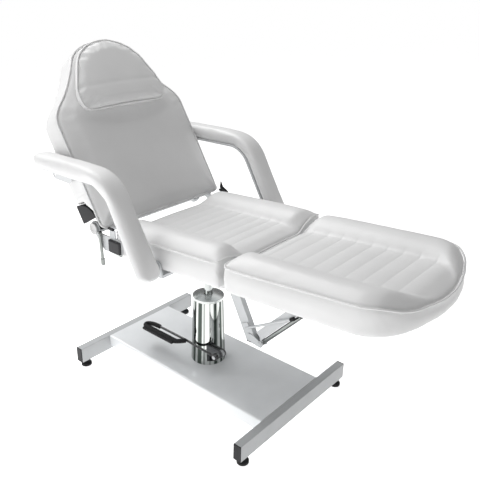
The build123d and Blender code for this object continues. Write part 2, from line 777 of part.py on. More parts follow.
def pedal_grip():
    """The ribbed rubber loop that the foot presses."""
    points = pedal_route()
    start = (PEDAL_X - PEDAL_STRAIGHT, -PEDAL_ROD_Y, points[2][2])
    loop = [start, points[3], points[4], points[5], points[6]]
    body = None
    for first, second in zip(loop, loop[1:]):
        piece = rod_between(first, second, GRIP_RADIUS)
        piece += Pos(*first) * Sphere(GRIP_RADIUS)
        body = piece if body is None else body + piece
    height = points[2][2]
    far = -PEDAL_ROD_Y - PEDAL_LOOP_WIDTH
    x_span = (PEDAL_X - PEDAL_OUTER_FAR, PEDAL_X - PEDAL_OUTER_NEAR)
    y_span = (far - GRIP_PAD_WIDTH / 2, far + GRIP_PAD_WIDTH / 2)
    pad = block(x_span, y_span, (height - GRIP_PAD_THICK / 2, height + GRIP_PAD_THICK / 2))
    pad = fillet(pad.edges().filter_by(Axis.Z), GRIP_PAD_WIDTH / 3)
    body += pad
    count = int((x_span[1] - x_span[0] - GRIP_PAD_WIDTH / 2) / GRIP_RIB_PITCH)
    top = height + GRIP_PAD_THICK / 2
    for index in range(count):
        x = x_span[0] + GRIP_PAD_WIDTH / 3 + index * GRIP_RIB_PITCH
        body += block((x, x + GRIP_RIB), y_span, (top - GRIP_RIB, top + GRIP_RIB_HEIGHT))
    for first, second in zip(points[:3], points[1:3]):
        body -= rod_between(first, second, PEDAL_ROD_RADIUS + RUN_GAP)
    body -= Pos(*points[1]) * Sphere(PEDAL_ROD_RADIUS + RUN_GAP)
    return body


# seat frame
def in_plane(plane, piece):
    """A piece drawn flat, carried to its inclined plane."""
    return plane.location * piece


def seat_rails():
    """Two steel tubes along the seat."""
    y_span = (RAIL_Y - RAIL_WIDTH / 2, RAIL_Y + RAIL_WIDTH / 2)
    spans = ((-RAIL_REAR, RAIL_FRONT), y_span, (RAIL_LOW, -BOARD))
    return in_plane(SEAT_PLANE, both_sides(hollow_block(*spans, RAIL_WALL, 0)))


def seat_cross_tubes():
    """The front and rear tubes between the seat rails."""
    half = RAIL_Y - RAIL_WIDTH / 2
    body = Part()
    for start in (-RAIL_REAR, RAIL_FRONT - CROSS_WIDTH):
        spans = ((start, start + CROSS_WIDTH), (-half, half), (RAIL_LOW, -BOARD))
        body += hollow_block(*spans, RAIL_WALL, 1)
    return in_plane(SEAT_PLANE, body)


def rear_beam():
    """The tube behind the seat that joins both hinge brackets, on two posts."""
    spans = (
        (BEAM_X, BEAM_X + BEAM_DEPTH),
        (-SIDE_PLATE_Y, SIDE_PLATE_Y),
        (BEAM_Z, BEAM_Z + BEAM_HEIGHT),
    )
    beam = hollow_block(*spans, RAIL_WALL, 1)
    post_x = (BEAM_X + BEAM_DEPTH / 4, BEAM_X + BEAM_DEPTH)
    post = block(post_x, (RAIL_Y - RAIL_WIDTH / 4, RAIL_Y + RAIL_WIDTH / 4), (BEAM_Z - BEAM_DEPTH, BEAM_Z))
    top = in_plane(SEAT_PLANE, block((-SEAT_FRONT, SEAT_FRONT), (0, SEAT_HALF), (-SEAT_THICK, -BOARD)))
    return beam + both_sides(post - top)


def swivel_saddle():
    """The plate under the rails with the socket for the lifting rod."""
    low = RAIL_LOW - SADDLE_PLATE
    plate = block(
        (-SADDLE_LENGTH / 2, SADDLE_LENGTH / 2), (-SADDLE_WIDTH / 2, SADDLE_WIDTH / 2), (low, RAIL_LOW)
    )
    plate = fillet(plate.edges().filter_by(Axis.Z), BOARD_CORNER)
    plate = in_plane(SEAT_PLANE, plate)
    stand = (Align.CENTER, Align.CENTER, Align.MIN)
    socket_top = SEAT_HEIGHT + low + SADDLE_PLATE / 2
    socket = Pos(0, 0, SOCKET_BOTTOM) * Cylinder(SOCKET_RADIUS, socket_top - SOCKET_BOTTOM, align=stand)
    depth = SOCKET_BORE_TOP - SOCKET_BOTTOM + OVERRUN
    bore = Pos(0, 0, SOCKET_BOTTOM - OVERRUN) * Cylinder(ROD_RADIUS + RUN_GAP, depth, align=stand)
    return plate + socket - bore


def seat_board():
    """The plywood board under the seat cushion."""
    half = SEAT_HALF - BOARD_INSET
    board = block((-SEAT_REAR + OVERRUN, RAIL_FRONT), (-half, half), (-BOARD, 0))
    board = fillet(board.edges().filter_by(Axis.Z), BOARD_CORNER)
    return in_plane(SEAT_PLANE, board)


def cushion_section(u, half, edge, rise, valley, puff):
    """One outline across a cushion: flat foot, drawn-in sides, bolsters, centre."""
    foot = half - SIDE_TUCK
    top = half - SIDE_TUCK / 2
    line = min(BOLSTER_LINE, half / 2)
    peak = max(top - CROWN_RUN, (top + line) / 2)
    low = SOFT_GAP
    outline = Line((u, -foot, low), (u, foot, low))
    outline += ThreePointArc((u, foot, low), (u, half, edge / 2), (u, top, edge))
    outline += ThreePointArc((u, top, edge), (u, peak, edge + rise), (u, line, valley))
    outline += ThreePointArc((u, line, valley), (u, 0, valley + puff), (u, -line, valley))
    outline += ThreePointArc((u, -line, valley), (u, -peak, edge + rise), (u, -top, edge))
    outline += ThreePointArc((u, -top, edge), (u, -half, edge / 2), (u, -foot, low))
    return make_face(outline)


def blend_value(table, place, column):
    """A value between the rows of a table, by straight lines."""
    if place <= table[0][0]:
        return table[0][column]
    for first, second in zip(table, table[1:]):
        if place <= second[0]:
            part = (place - first[0]) / (second[0] - first[0])
            return first[column] + part * (second[column] - first[column])
    return table[-1][column]


def seam_stations(first, pitch, count):
    """Places along a cushion with a mark that tells a seam from a puffed middle."""
    stations = []
    for index in range(count):
        stations.append((first + index * pitch, True))
        if index < count - 1:
            stations.append((first + (index + 1 / 2) * pitch, False))
    return stations


def seat_cushion():
    """The seat cushion: two bolsters and a seamed centre that drops to the front."""
    rear = -SEAT_REAR
    length = SEAT_FRONT + SEAT_REAR
    drops = (
        (rear, CENTRE_REAR_DROP),
        (SEAT_FRONT - CROWN_RUN, CENTRE_FRONT_DROP),
        (SEAT_FRONT, CENTRE_EDGE_DROP),
    )
    stations = [(rear, False), (rear + CROWN_RUN, False)]
    stations += seam_stations(rear + SEAT_SEAM_FIRST, SEAT_SEAM_PITCH, SEAT_SEAM_COUNT)
    stations += [(SEAT_FRONT - CROWN_RUN, False), (SEAT_FRONT, False)]
    sections = []
    for u, seam in stations:
        end = min(u - rear, SEAT_FRONT - u, CROWN_RUN) / CROWN_RUN
        rise = BOLSTER_END_RISE + (BOLSTER_RISE - BOLSTER_END_RISE) * end
        sink = SEAM_DEPTH if seam else 0
        valley = SEAT_THICK - blend_value(drops, u, 1) - sink
        sections.append(cushion_section(u, SEAT_HALF, SEAT_THICK, rise, valley, CENTRE_PUFF - sink))
    return in_plane(SEAT_PLANE, loft(sections, ruled=True))


# leg rest
def leg_place(share):
    """A place along the leg rest from a share of its length."""
    return LEG_REAR + share * (LEG_FRONT - LEG_REAR)


def leg_outline():
    """Rows of place, half width and edge height along the leg rest."""
    rows = [(LEG_REAR, SEAT_HALF, LEG_THICK)]
    for place, width, height in LEG_FRONT_SHARES:
        edge = LEG_TIP_THICK + height * (LEG_THICK - LEG_TIP_THICK)
        rows.append((leg_place(place), width * SEAT_HALF, edge))
    return rows


def leg_cushion():
    """The leg rest cushion with its rounded, falling front."""
    rows = leg_outline()
    seams = seam_stations(LEG_REAR + LEG_SEAM_FIRST, LEG_SEAM_PITCH, LEG_SEAM_COUNT)
    last = seams[-1][0]
    stations = [(LEG_REAR, False), (LEG_REAR + CROWN_RUN, False)] + seams
    stations += [(row[0], False) for row in rows if row[0] > last + CENTRE_PUFF]
    sections = []
    for u, seam in stations:
        half = blend_value(rows, u, 1)
        edge = blend_value(rows, u, 2)
        end = min(u - LEG_REAR, LEG_FRONT - u, CROWN_RUN) / CROWN_RUN
        rise = BOLSTER_END_RISE + (BOLSTER_RISE - BOLSTER_END_RISE) * end
        sink = SEAM_DEPTH if seam else 0
        fall = 1 - min(LEG_FRONT - u, LEG_TIP_ROUND) / LEG_TIP_ROUND
        swell = sqrt(1 - fall * fall)
        valley = LEG_TIP_THICK + (LEG_THICK - LEG_CENTRE_DROP - LEG_TIP_THICK) * swell
        puff = CENTRE_PUFF - sink
        sections.append(cushion_section(u, half, edge, rise, valley - sink, puff))
    return in_plane(LEG_PLANE, loft(sections, ruled=True))


def leg_board():
    """The plywood board under the leg rest, with the same rounded front."""
    inset = BOARD_INSET
    right = [(LEG_RAIL_START, SEAT_HALF - inset)]
    for place, half, edge in leg_outline()[1:]:
        if half > 2 * inset:
            right.append((place - inset, half - inset))
    points = right + [(u, -y) for u, y in reversed(right)]
    outline = Polyline(*[(u, y, 0) for u, y in points], close=True)
    board = extrude(make_face(outline), amount=-BOARD, dir=(0, 0, 1))
    return in_plane(LEG_PLANE, board)


def leg_frame():
    """The tubes under the leg rest board with the hinge knuckles."""
    half = LEG_RAIL_WIDTH / 2
    spans = ((LEG_RAIL_START, LEG_RAIL_END), (RAIL_Y - half, RAIL_Y + half), (RAIL_LOW, -BOARD))
    body = both_sides(hollow_block(*spans, RAIL_WALL, 0))
    between = RAIL_Y - half
    for start in (LEG_RAIL_START, LEG_RAIL_END - LEG_CROSS):
        spans = ((start, start + LEG_CROSS), (-between, between), (RAIL_LOW, -BOARD))
        body += hollow_block(*spans, RAIL_WALL, 1)
    low = LEG_DROP - LEG_HINGE_DEPTH
    y_span = (RAIL_Y - LEG_KNUCKLE / 2, RAIL_Y + LEG_KNUCKLE / 2)
    points = (
        (LEG_HINGE_U, low - LEG_RING_RADIUS),
        (LEG_RAIL_START, RAIL_LOW),
        (LEG_RAIL_START, -BOARD),
        (LEG_HINGE_U, low + LEG_RING_RADIUS),
    )
    knuckle = plate_y(points, y_span)
    knuckle += rod_y(LEG_HINGE_U, low, LEG_RING_RADIUS, y_span)
    knuckle -= rod_y(LEG_HINGE_U, low, LEG_PIN_RADIUS + RUN_GAP, y_span)
    body += both_sides(knuckle)
    return in_plane(LEG_PLANE, body)


def leg_hinge_ears():
    """Four ears on the seat rails with the two headed pins of the leg rest."""
    body = Part()
    depth = -LEG_HINGE_DEPTH
    near = RAIL_Y - LEG_KNUCKLE / 2 - SIDE_GAP - LEG_EAR
    far = RAIL_Y + LEG_KNUCKLE / 2 + SIDE_GAP
    points = (
        (RAIL_FRONT, RAIL_LOW),
        (LEG_HINGE_U, depth - LEG_RING_RADIUS),
        (LEG_HINGE_U, depth + LEG_RING_RADIUS),
        (RAIL_FRONT, -BOARD),
    )
    for start in (near, far):
        y_span = (start, start + LEG_EAR)
        body += plate_y(points, y_span) + rod_y(LEG_HINGE_U, depth, LEG_RING_RADIUS, y_span)
    y_span = (near - PIN_HEAD, far + LEG_EAR + PIN_HEAD)
    body += rod_y(LEG_HINGE_U, depth, LEG_PIN_RADIUS, y_span)
    for start in (near - PIN_HEAD, far + LEG_EAR):
        body += rod_y(LEG_HINGE_U, depth, PIN_HEAD_RADIUS, (start, start + PIN_HEAD))
    return in_plane(SEAT_PLANE, both_sides(body))


# leg arm and stay
def leg_arm():
    """The rectangular tube that reaches down from the saddle to the stay."""
    lean = radians(ARM_LEAN)
    half = ARM_DEPTH / 2 / sin(lean)
    reach = (SEAT_HEIGHT + RAIL_LOW - ARM_FOOT_Z) / sin(lean)
    top_x = ARM_FOOT_X - reach * cos(lean)
    top_z = ARM_FOOT_Z + reach * sin(lean)
    points = (
        (ARM_FOOT_X - half, ARM_FOOT_Z),
        (ARM_FOOT_X + half, ARM_FOOT_Z),
        (top_x + half, top_z),
        (top_x - half, top_z),
    )
    tube = plate_y(points, (-ARM_WIDTH / 2, ARM_WIDTH / 2))
    inner = half - ARM_WALL / sin(lean)
    run = OVERRUN * cos(lean) / sin(lean)
    hollow = (
        (ARM_FOOT_X - inner + run, ARM_FOOT_Z - OVERRUN),
        (ARM_FOOT_X + inner + run, ARM_FOOT_Z - OVERRUN),
        (top_x + inner - run, top_z + OVERRUN),
        (top_x - inner - run, top_z + OVERRUN),
    )
    wall = ARM_WIDTH / 2 - ARM_WALL
    tube -= plate_y(hollow, (-wall, wall))
    low = RAIL_LOW - SADDLE_PLATE
    above = block((-SEAT_FRONT, SEAT_FRONT), (-SEAT_HALF, SEAT_HALF), (low, SEAT_THICK))
    return tube - in_plane(SEAT_PLANE, above)


def leg_arm_cap():
    """The plastic plug in the lower end of the leg arm."""
    lean = radians(ARM_LEAN)
    half = (ARM_DEPTH / 2 - ARM_WALL - RUN_GAP) / sin(lean)
    run = TUBE_PLUG * cos(lean) / sin(lean)
    points = (
        (ARM_FOOT_X - half, ARM_FOOT_Z),
        (ARM_FOOT_X + half, ARM_FOOT_Z),
        (ARM_FOOT_X + half - run, ARM_FOOT_Z + TUBE_PLUG),
        (ARM_FOOT_X - half - run, ARM_FOOT_Z + TUBE_PLUG),
    )
    wall = ARM_WIDTH / 2 - ARM_WALL - RUN_GAP
    plug = plate_y(points, (-wall, wall))
    outer = ARM_DEPTH / 2 / sin(lean)
    x_span = (ARM_FOOT_X - outer, ARM_FOOT_X + outer)
    return plug + block(x_span, (-ARM_WIDTH / 2, ARM_WIDTH / 2), (ARM_FOOT_Z - TUBE_CAP, ARM_FOOT_Z))


def stay_ears():
    """Two ears on the leg arm's sides with the pin that holds the stay's foot."""
    lean = radians(ARM_LEAN)
    back = ARM_DEPTH / 2 / sin(lean)
    low = STAY_Z - STAY_EAR_RADIUS
    high = STAY_Z + 2 * STAY_EAR_RADIUS
    low_x = ARM_FOOT_X - (low - ARM_FOOT_Z) * cos(lean) / sin(lean)
    high_x = ARM_FOOT_X - (high - ARM_FOOT_Z) * cos(lean) / sin(lean)
    points = (
        (low_x, low + TUBE_CAP),
        (STAY_X, low),
        (STAY_X + STAY_EAR_RADIUS / 2, STAY_Z + STAY_EAR_RADIUS / 2),
        (high_x + back, high),
        (high_x, high),
    )
    y_span = (ARM_WIDTH / 2, ARM_WIDTH / 2 + STAY_EAR)
    ear = plate_y(points, y_span) + rod_y(STAY_X, STAY_Z, STAY_EAR_RADIUS, y_span)
    half = ARM_WIDTH / 2 + STAY_EAR + PIN_HEAD
    ear += rod_y(STAY_X, STAY_Z, PIN_HEAD_RADIUS, (half - PIN_HEAD, half))
    return both_sides(ear) + rod_y(STAY_X, STAY_Z, STAY_PIN_RADIUS, (-half, half))


def stay_plate(points, y_span):
    """A plate drawn along and across the stay's axis."""
    placed = [along(STAY_X, STAY_Z, STAY_ANGLE, t, p) for t, p in points]
    return plate_y(placed, y_span)


def stay_rod_at(start, end, radius):
    """A round bar on the stay's axis."""
    first_x, first_z = along(STAY_X, STAY_Z, STAY_ANGLE, start)
    last_x, last_z = along(STAY_X, STAY_Z, STAY_ANGLE, end)
    return rod_between((first_x, 0, first_z), (last_x, 0, last_z), radius)


def stay_sleeve():
    """The rectangular sleeve of the stay with the two cheeks around its pin."""
    half = SLEEVE_WIDTH / 2
    low = SLEEVE_LOW
    high = SLEEVE_LOW + SLEEVE_DEPTH
    start = SLEEVE_START
    outer = ((start, low), (SLEEVE_END, low), (SLEEVE_END, high), (start, high))
    sleeve = stay_plate(outer, (-half, half))
    wall = SLEEVE_WALL
    inner = (
        (start - OVERRUN, low + wall),
        (SLEEVE_END + OVERRUN, low + wall),
        (SLEEVE_END + OVERRUN, high - wall),
        (start - OVERRUN, high - wall),
    )
    sleeve -= stay_plate(inner, (wall - half, half - wall))
    eye = STAY_EYE_RADIUS
    cheek_points = (
        (-eye, 0),
        (start - EYE_GAP, 0),
        (start + 2 * EYE_GAP, low),
        (start + eye, low + eye),
        (start, low + eye),
    )
    for side in (-1, 1):
        y_span = sorted((side * half, side * (half - wall)))
        cheek = stay_plate(cheek_points, y_span) + rod_y(STAY_X, STAY_Z, eye, y_span)
        sleeve += cheek
    return sleeve - rod_y(STAY_X, STAY_Z, STAY_PIN_RADIUS + RUN_GAP, (-half - OVERRUN, half + OVERRUN))


def stay_cylinder():
    """The chromed cylinder of the stay with its foot eye."""
    half = SLEEVE_WIDTH / 2 - SLEEVE_WALL - SOFT_GAP
    eye = rod_y(STAY_X, STAY_Z, STAY_EYE_RADIUS - EYE_GAP, (-half, half))
    neck = ((0, -half), (CYLINDER_START + OVERRUN, -half), (CYLINDER_START + OVERRUN, half), (0, half))
    body = eye + stay_plate(neck, (-half, half))
    body += stay_rod_at(CYLINDER_START, CYLINDER_END, CYLINDER_RADIUS)
    body -= rod_y(STAY_X, STAY_Z, STAY_PIN_RADIUS + RUN_GAP, (-half - OVERRUN, half + OVERRUN))
    bore_end = CYLINDER_START + CYLINDER_RADIUS / 2
    body -= stay_rod_at(bore_end, CYLINDER_END + OVERRUN, CYLINDER_BORE)
    return body


def stay_rod():
    """The thin rod that slides in the chromed cylinder, with its eye and headed pin."""
    half = STAY_EYE_WIDTH / 2
    tip = STAY_LENGTH
    rod = stay_rod_at(tip - STAY_ROD_LENGTH, tip - STAY_PIN_RADIUS, STAY_ROD_RADIUS)
    rod += rod_y(STAY_TIP_X, STAY_TIP_Z, STAY_EYE_RADIUS, (-half, half))
    end = BRACKET_GAP + BRACKET_WALL + SIDE_GAP
    rod += rod_y(STAY_TIP_X, STAY_TIP_Z, STAY_PIN_RADIUS, (-end, end))
    head = rod_y(STAY_TIP_X, STAY_TIP_Z, WINDOW_ALONG + 2 * EYE_GAP, (end, end + PIN_HEAD))
    return rod + both_sides(head)


def stay_bar():
    """The flat bar that slides in the sleeve, with two cheeks to the end pin."""
    wall = SLEEVE_WALL + SIDE_GAP
    half = SLEEVE_WIDTH / 2 - wall
    low = SLEEVE_LOW + wall
    high = SLEEVE_LOW + SLEEVE_DEPTH - wall
    end = STAY_LENGTH - BAR_SETBACK
    start = end - BAR_LENGTH
    bar = stay_plate(((start, low), (end, low), (end, high), (start, high)), (-half, half))
    eye = STAY_EYE_RADIUS
    tip = STAY_LENGTH
    near = STAY_EYE_WIDTH / 2 + RUN_GAP
    cheek_points = ((end - eye, low), (tip, -eye), (tip + eye / 2, eye / 2), (end, high), (end - eye, high))
    for side in (-1, 1):
        y_span = sorted((side * near, side * half))
        bar += stay_plate(cheek_points, y_span) + rod_y(STAY_TIP_X, STAY_TIP_Z, eye, y_span)
    return bar - rod_y(STAY_TIP_X, STAY_TIP_Z, STAY_PIN_RADIUS + RUN_GAP, (-SLEEVE_WIDTH, SLEEVE_WIDTH))


def stay_bracket():
    """The slotted bracket under the leg rest that the stay carries."""
    place = LEG_PLANE.to_local_coords(Vector(STAY_TIP_X, 0, STAY_TIP_Z))
    u = place.X
    w = place.Z
    run = BRACKET_PLATE_LENGTH / 2
    low = -BOARD - BRACKET_PLATE_HEIGHT
    outer = BRACKET_GAP + BRACKET_WALL
    reach = RAIL_Y - LEG_RAIL_WIDTH / 2
    bracket = block((u - run, u + run), (-reach, reach), (low, -BOARD))
    foot = w - BRACKET_REACH
    points = ((u - run, low), (u - run / 2, foot), (u + run / 2, foot), (u + run, low))
    for side in (-1, 1):
        bracket += plate_y(points, sorted((side * BRACKET_GAP, side * outer)))
    bracket = in_plane(LEG_PLANE, bracket)
    along_half = WINDOW_ALONG
    cross = WINDOW_ACROSS
    tip = STAY_LENGTH
    window = (
        (tip - along_half, -cross),
        (tip + along_half, -cross),
        (tip + along_half, cross),
        (tip - along_half, cross),
    )
    for side in (-1, 1):
        y_span = sorted((side * (BRACKET_GAP - OVERRUN), side * (outer + OVERRUN)))
        bracket -= stay_plate(window, y_span)
    return bracket


def leg_stop_rod():
    """The slanting rod on the leg arm that carries the stop buffer."""
    y = -ARM_WIDTH / 2 - STOP_OFFSET
    end_x, end_z = along(STOP_START_X, STOP_START_Z, STOP_SLOPE, STOP_LENGTH)
    rod = rod_between((STOP_START_X, y, STOP_START_Z), (end_x, y, end_z), STOP_RADIUS)
    half = STOP_TAB_DEPTH / 2
    corners = ((0, -half), (STOP_TAB, -half), (STOP_TAB, half), (0, half))
    points = [along(STOP_START_X - STOP_TAB / 2, STOP_START_Z, STOP_SLOPE, t, p) for t, p in corners]
    return rod + plate_y(points, (y, -ARM_WIDTH / 2))


def leg_stop_buffer():
    """The rubber buffer that the lowered leg rest meets."""
    y = -ARM_WIDTH / 2 - STOP_OFFSET
    start = STOP_LENGTH - BUFFER_SEAT
    first_x, first_z = along(STOP_START_X, STOP_START_Z, STOP_SLOPE, start)
    last_x, last_z = along(STOP_START_X, STOP_START_Z, STOP_SLOPE, start + BUFFER_LENGTH)
    body = rod_between((first_x, y, first_z), (last_x, y, last_z), BUFFER_RADIUS)
    end_x, end_z = along(STOP_START_X, STOP_START_Z, STOP_SLOPE, STOP_LENGTH + RUN_GAP)
    return body - rod_between((STOP_START_X, y, STOP_START_Z), (end_x, y, end_z), STOP_RADIUS + RUN_GAP)


# back hinge
def hinge_tube():
    """The tube that the back turns on."""
    span = (-HINGE_HALF, HINGE_HALF)
    tube = rod_y(HINGE_X, HINGE_Z, HINGE_RADIUS, span)
    bore = (-HINGE_HALF - OVERRUN, HINGE_HALF + OVERRUN)
    return tube - rod_y(HINGE_X, HINGE_Z, HINGE_RADIUS - HINGE_WALL, bore)


def hinge_tube_caps():
    """The two stepped plugs in the hinge tube."""
    cap = rod_y(HINGE_X, HINGE_Z, HINGE_RADIUS, (HINGE_HALF, HINGE_HALF + HINGE_CAP))
    plug = HINGE_RADIUS - HINGE_WALL - RUN_GAP
    cap += rod_y(HINGE_X, HINGE_Z, plug, (HINGE_HALF - HINGE_PLUG, HINGE_HALF))
    dish = HINGE_RADIUS / 2
    cap -= rod_y(HINGE_X, HINGE_Z, dish, (HINGE_HALF + HINGE_CAP / 2, HINGE_HALF + HINGE_CAP + OVERRUN))
    return both_sides(cap)


def bracket_front_x():
    """Where the hinge bracket ends beside the cushion."""
    return BEAM_X + BEAM_DEPTH + HOUSING_LENGTH - HOUSING_RISE


def hinge_brackets():
    """The two side plates from the rear beam to the hinge tube, one with the lever pin."""
    belly = BEAM_Z + BRACKET_TIP
    shoulder = BRACKET_HEAD_X + BRACKET_HEAD_WIDTH
    points = (
        (HINGE_X, HINGE_Z - HINGE_RING),
        (HINGE_X + BRACKET_BELLY, BEAM_Z),
        (bracket_front_x(), BEAM_Z),
        (bracket_front_x(), belly - HOUSING_LIP),
        (shoulder, belly),
        (shoulder, BRACKET_HEAD_Z),
        (BRACKET_HEAD_X, BRACKET_HEAD_Z),
        (BRACKET_HEAD_X, belly),
        (HINGE_X + HINGE_RING - OVERRUN, belly),
        (HINGE_X, HINGE_Z),
    )
    y_span = (SIDE_PLATE_Y, SIDE_OUTER)
    plate = plate_y(points, y_span)
    plate += rod_y(HINGE_X, HINGE_Z, HINGE_RING, y_span)
    plate -= rod_y(HINGE_X, HINGE_Z, HINGE_RADIUS + RUN_GAP, (SIDE_PLATE_Y - OVERRUN, SIDE_OUTER + OVERRUN))
    near = mirror(plate, about=Plane.XZ)
    outer = SIDE_OUTER + FREE_GAP + LEVER_HUB_WIDTH + RUN_GAP
    near += rod_y(LEVER_X, LEVER_Z, LEVER_PIN_RADIUS, (-outer, -SIDE_OUTER))
    for start in (-SIDE_OUTER - FREE_GAP + RUN_GAP, -outer):
        end = -SIDE_OUTER if start > -outer else -outer - LEVER_PIN_HEAD
        near += rod_y(LEVER_X, LEVER_Z, LEVER_PIN_RADIUS + EYE_GAP, sorted((start, end)))
    return near + plate


def bracket_caps():
    """The black strips on top of the bracket heads."""
    x_span = (BRACKET_HEAD_X - BRACKET_CAP_LEAN, BRACKET_HEAD_X + BRACKET_HEAD_WIDTH - BRACKET_CAP_LEAN)
    y_span = (SIDE_PLATE_Y, SIDE_PLATE_Y + BRACKET_CAP_WIDTH)
    return both_sides(block(x_span, y_span, (BRACKET_HEAD_Z, BRACKET_HEAD_Z + BRACKET_CAP)))


def lever_housing():
    """The dark housing beside the release lever."""
    end = bracket_front_x()
    low = BEAM_Z + HOUSING_RISE
    y_span = (-SIDE_OUTER - HOUSING_WIDTH, -SIDE_OUTER)
    body = block((end - HOUSING_LENGTH, end), y_span, (low, low + HOUSING_HEIGHT))
    return chamfer(body.edges().group_by(Axis.Y)[0], HOUSING_WIDTH / 4)


def housing_lip():
    """The bright strip under the housing."""
    end = bracket_front_x()
    high = BEAM_Z + HOUSING_RISE
    y_span = (-SIDE_OUTER - HOUSING_WIDTH, -SIDE_OUTER)
    points = (
        (end - HOUSING_LENGTH, high),
        (end - HOUSING_LENGTH + HOUSING_LIP_REACH, high - HOUSING_LIP),
        (end + HOUSING_LIP_REACH, high - 2 * HOUSING_LIP),
        (end, high),
    )
    return plate_y(points, y_span)


def stop_plate():
    """The black stop plate beside the far end of the back, on its spacer."""
    shoulder = BRACKET_HEAD_X + BRACKET_HEAD_WIDTH
    spacer_x = (shoulder - BRACKET_HEAD_WIDTH / 3, shoulder)
    low = BEAM_Z + BRACKET_TIP
    spacer = block(spacer_x, (SIDE_OUTER, STOP_PLATE_Y), (low, BRACKET_HEAD_Z - OVERRUN))
    points = (
        (spacer_x[1], low),
        (spacer_x[1], BRACKET_HEAD_Z),
        (BRACKET_HEAD_X, BRACKET_HEAD_Z + BRACKET_HEAD_WIDTH / 2),
        (STOP_PLATE_TOP_X, STOP_PLATE_TOP_Z),
        (STOP_PLATE_HEEL_X, STOP_PLATE_HEEL_Z),
        (BRACKET_HEAD_X, low),
    )
    return spacer + plate_y(points, (STOP_PLATE_Y, STOP_PLATE_Y + STOP_PLATE))


# back rest
def back_rows():
    """Rows of height up the back and half width."""
    shares = BACK_FOOT_SHARES + BACK_SHOULDER_SHARES
    return [(place * BACK_LENGTH, width * BACK_HALF) for place, width in shares]


def back_depth(s):
    """How thick the foam is at a height, thinner over the hinge recess."""
    rise = s - NOTCH_RISE
    if rise <= 0:
        return LIP_THICK
    if rise >= NOTCH_RADIUS:
        return BACK_FOAM
    return min(BACK_FOAM, NOTCH_DEPTH - sqrt(NOTCH_RADIUS**2 - rise**2))


def back_section(s, half):
    """One outline across the back cushion at a height."""
    rear = back_depth(s)
    end = min(s, BACK_LENGTH - s, BACK_CROWN_RUN) / BACK_CROWN_RUN
    crown = BACK_CROWN * (1 / 4 + sqrt(1 - (1 - end) ** 2) * 3 / 4)
    run = min(BACK_CROWN_RUN, half / 2)
    inner = half - run
    rim = half - run / 2
    outline = Line((s, -half, rear), (s, half, rear))
    outline += Line((s, half, rear), (s, half, 0))
    outline += ThreePointArc((s, half, 0), (s, rim, -crown * 3 / 4), (s, inner, -crown))
    outline += Line((s, inner, -crown), (s, -inner, -crown))
    outline += ThreePointArc((s, -inner, -crown), (s, -rim, -crown * 3 / 4), (s, -half, 0))
    outline += Line((s, -half, 0), (s, -half, rear))
    return make_face(outline)


def back_cushion():
    """The upholstered front of the back, hollowed over the hinge tube."""
    rows = back_rows()
    last = acos((NOTCH_DEPTH - BACK_FOAM) / NOTCH_RADIUS)
    turns = [last * step / BACK_PLAIN_STEPS for step in range(BACK_PLAIN_STEPS + 1)]
    arch = [NOTCH_RISE + NOTCH_RADIUS * sin(turn) for turn in turns]
    feet = len(BACK_FOOT_SHARES)
    places = [row[0] for row in rows[:feet]] + arch + [row[0] for row in rows[feet:]]
    sections = [back_section(s, blend_value(rows, s, 1)) for s in places]
    return in_plane(BACK_PLANE, loft(sections, ruled=True))


def back_panel():
    """The wrapped board behind the back cushion, drilled for the armrest pins."""
    rows = back_rows()[len(BACK_FOOT_SHARES):]
    right = [(PANEL_START, BACK_HALF)] + rows
    points = right + [(s, -y) for s, y in reversed(right)]
    outline = Polyline(*[(s, y, BACK_FOAM + SOFT_GAP) for s, y in points], close=True)
    panel = extrude(make_face(outline), amount=BACK_PANEL - SOFT_GAP, dir=(0, 0, 1))
    for side in (-1, 1):
        y_span = sorted((side * (BACK_HALF - TRACK_PIN_SEAT - RUN_GAP), side * (BACK_HALF + OVERRUN)))
        panel -= rod_y(TRACK_PIN_RISE, TRACK_PIN_DEPTH, TRACK_PIN_RADIUS + RUN_GAP, y_span)
    return in_plane(BACK_PLANE, panel)


def recess_liner():
    """The black sheet that lines the hinge recess of the back."""
    outer = NOTCH_RADIUS - SOFT_GAP
    half = BACK_HALF - FREE_GAP
    y_span = (-half, half)
    start = NOTCH_DEPTH - outer
    shell = rod_y(NOTCH_RISE, NOTCH_DEPTH, outer, y_span)
    shell -= rod_y(NOTCH_RISE, NOTCH_DEPTH, outer - LINER, (-half - OVERRUN, half + OVERRUN))
    keep = block((NOTCH_RISE, NOTCH_RISE + NOTCH_RADIUS), y_span, (0, BACK_REAR))
    flat = block((OVERRUN, NOTCH_RISE), y_span, (start, start + LINER))
    return in_plane(BACK_PLANE, (shell & keep) + flat)


def recess_covers():
    """The two black plates that close the ends of the hinge recess."""
    radius = NOTCH_RADIUS - SOFT_GAP - LINER - RUN_GAP
    half = BACK_HALF - FREE_GAP
    y_span = (half - COVER_WIDTH, half)
    disc = rod_y(NOTCH_RISE, NOTCH_DEPTH, radius, y_span)
    keep = block((COVER_RISE, NOTCH_RISE + NOTCH_RADIUS), y_span, (0, BACK_REAR))
    return in_plane(BACK_PLANE, both_sides(disc & keep))


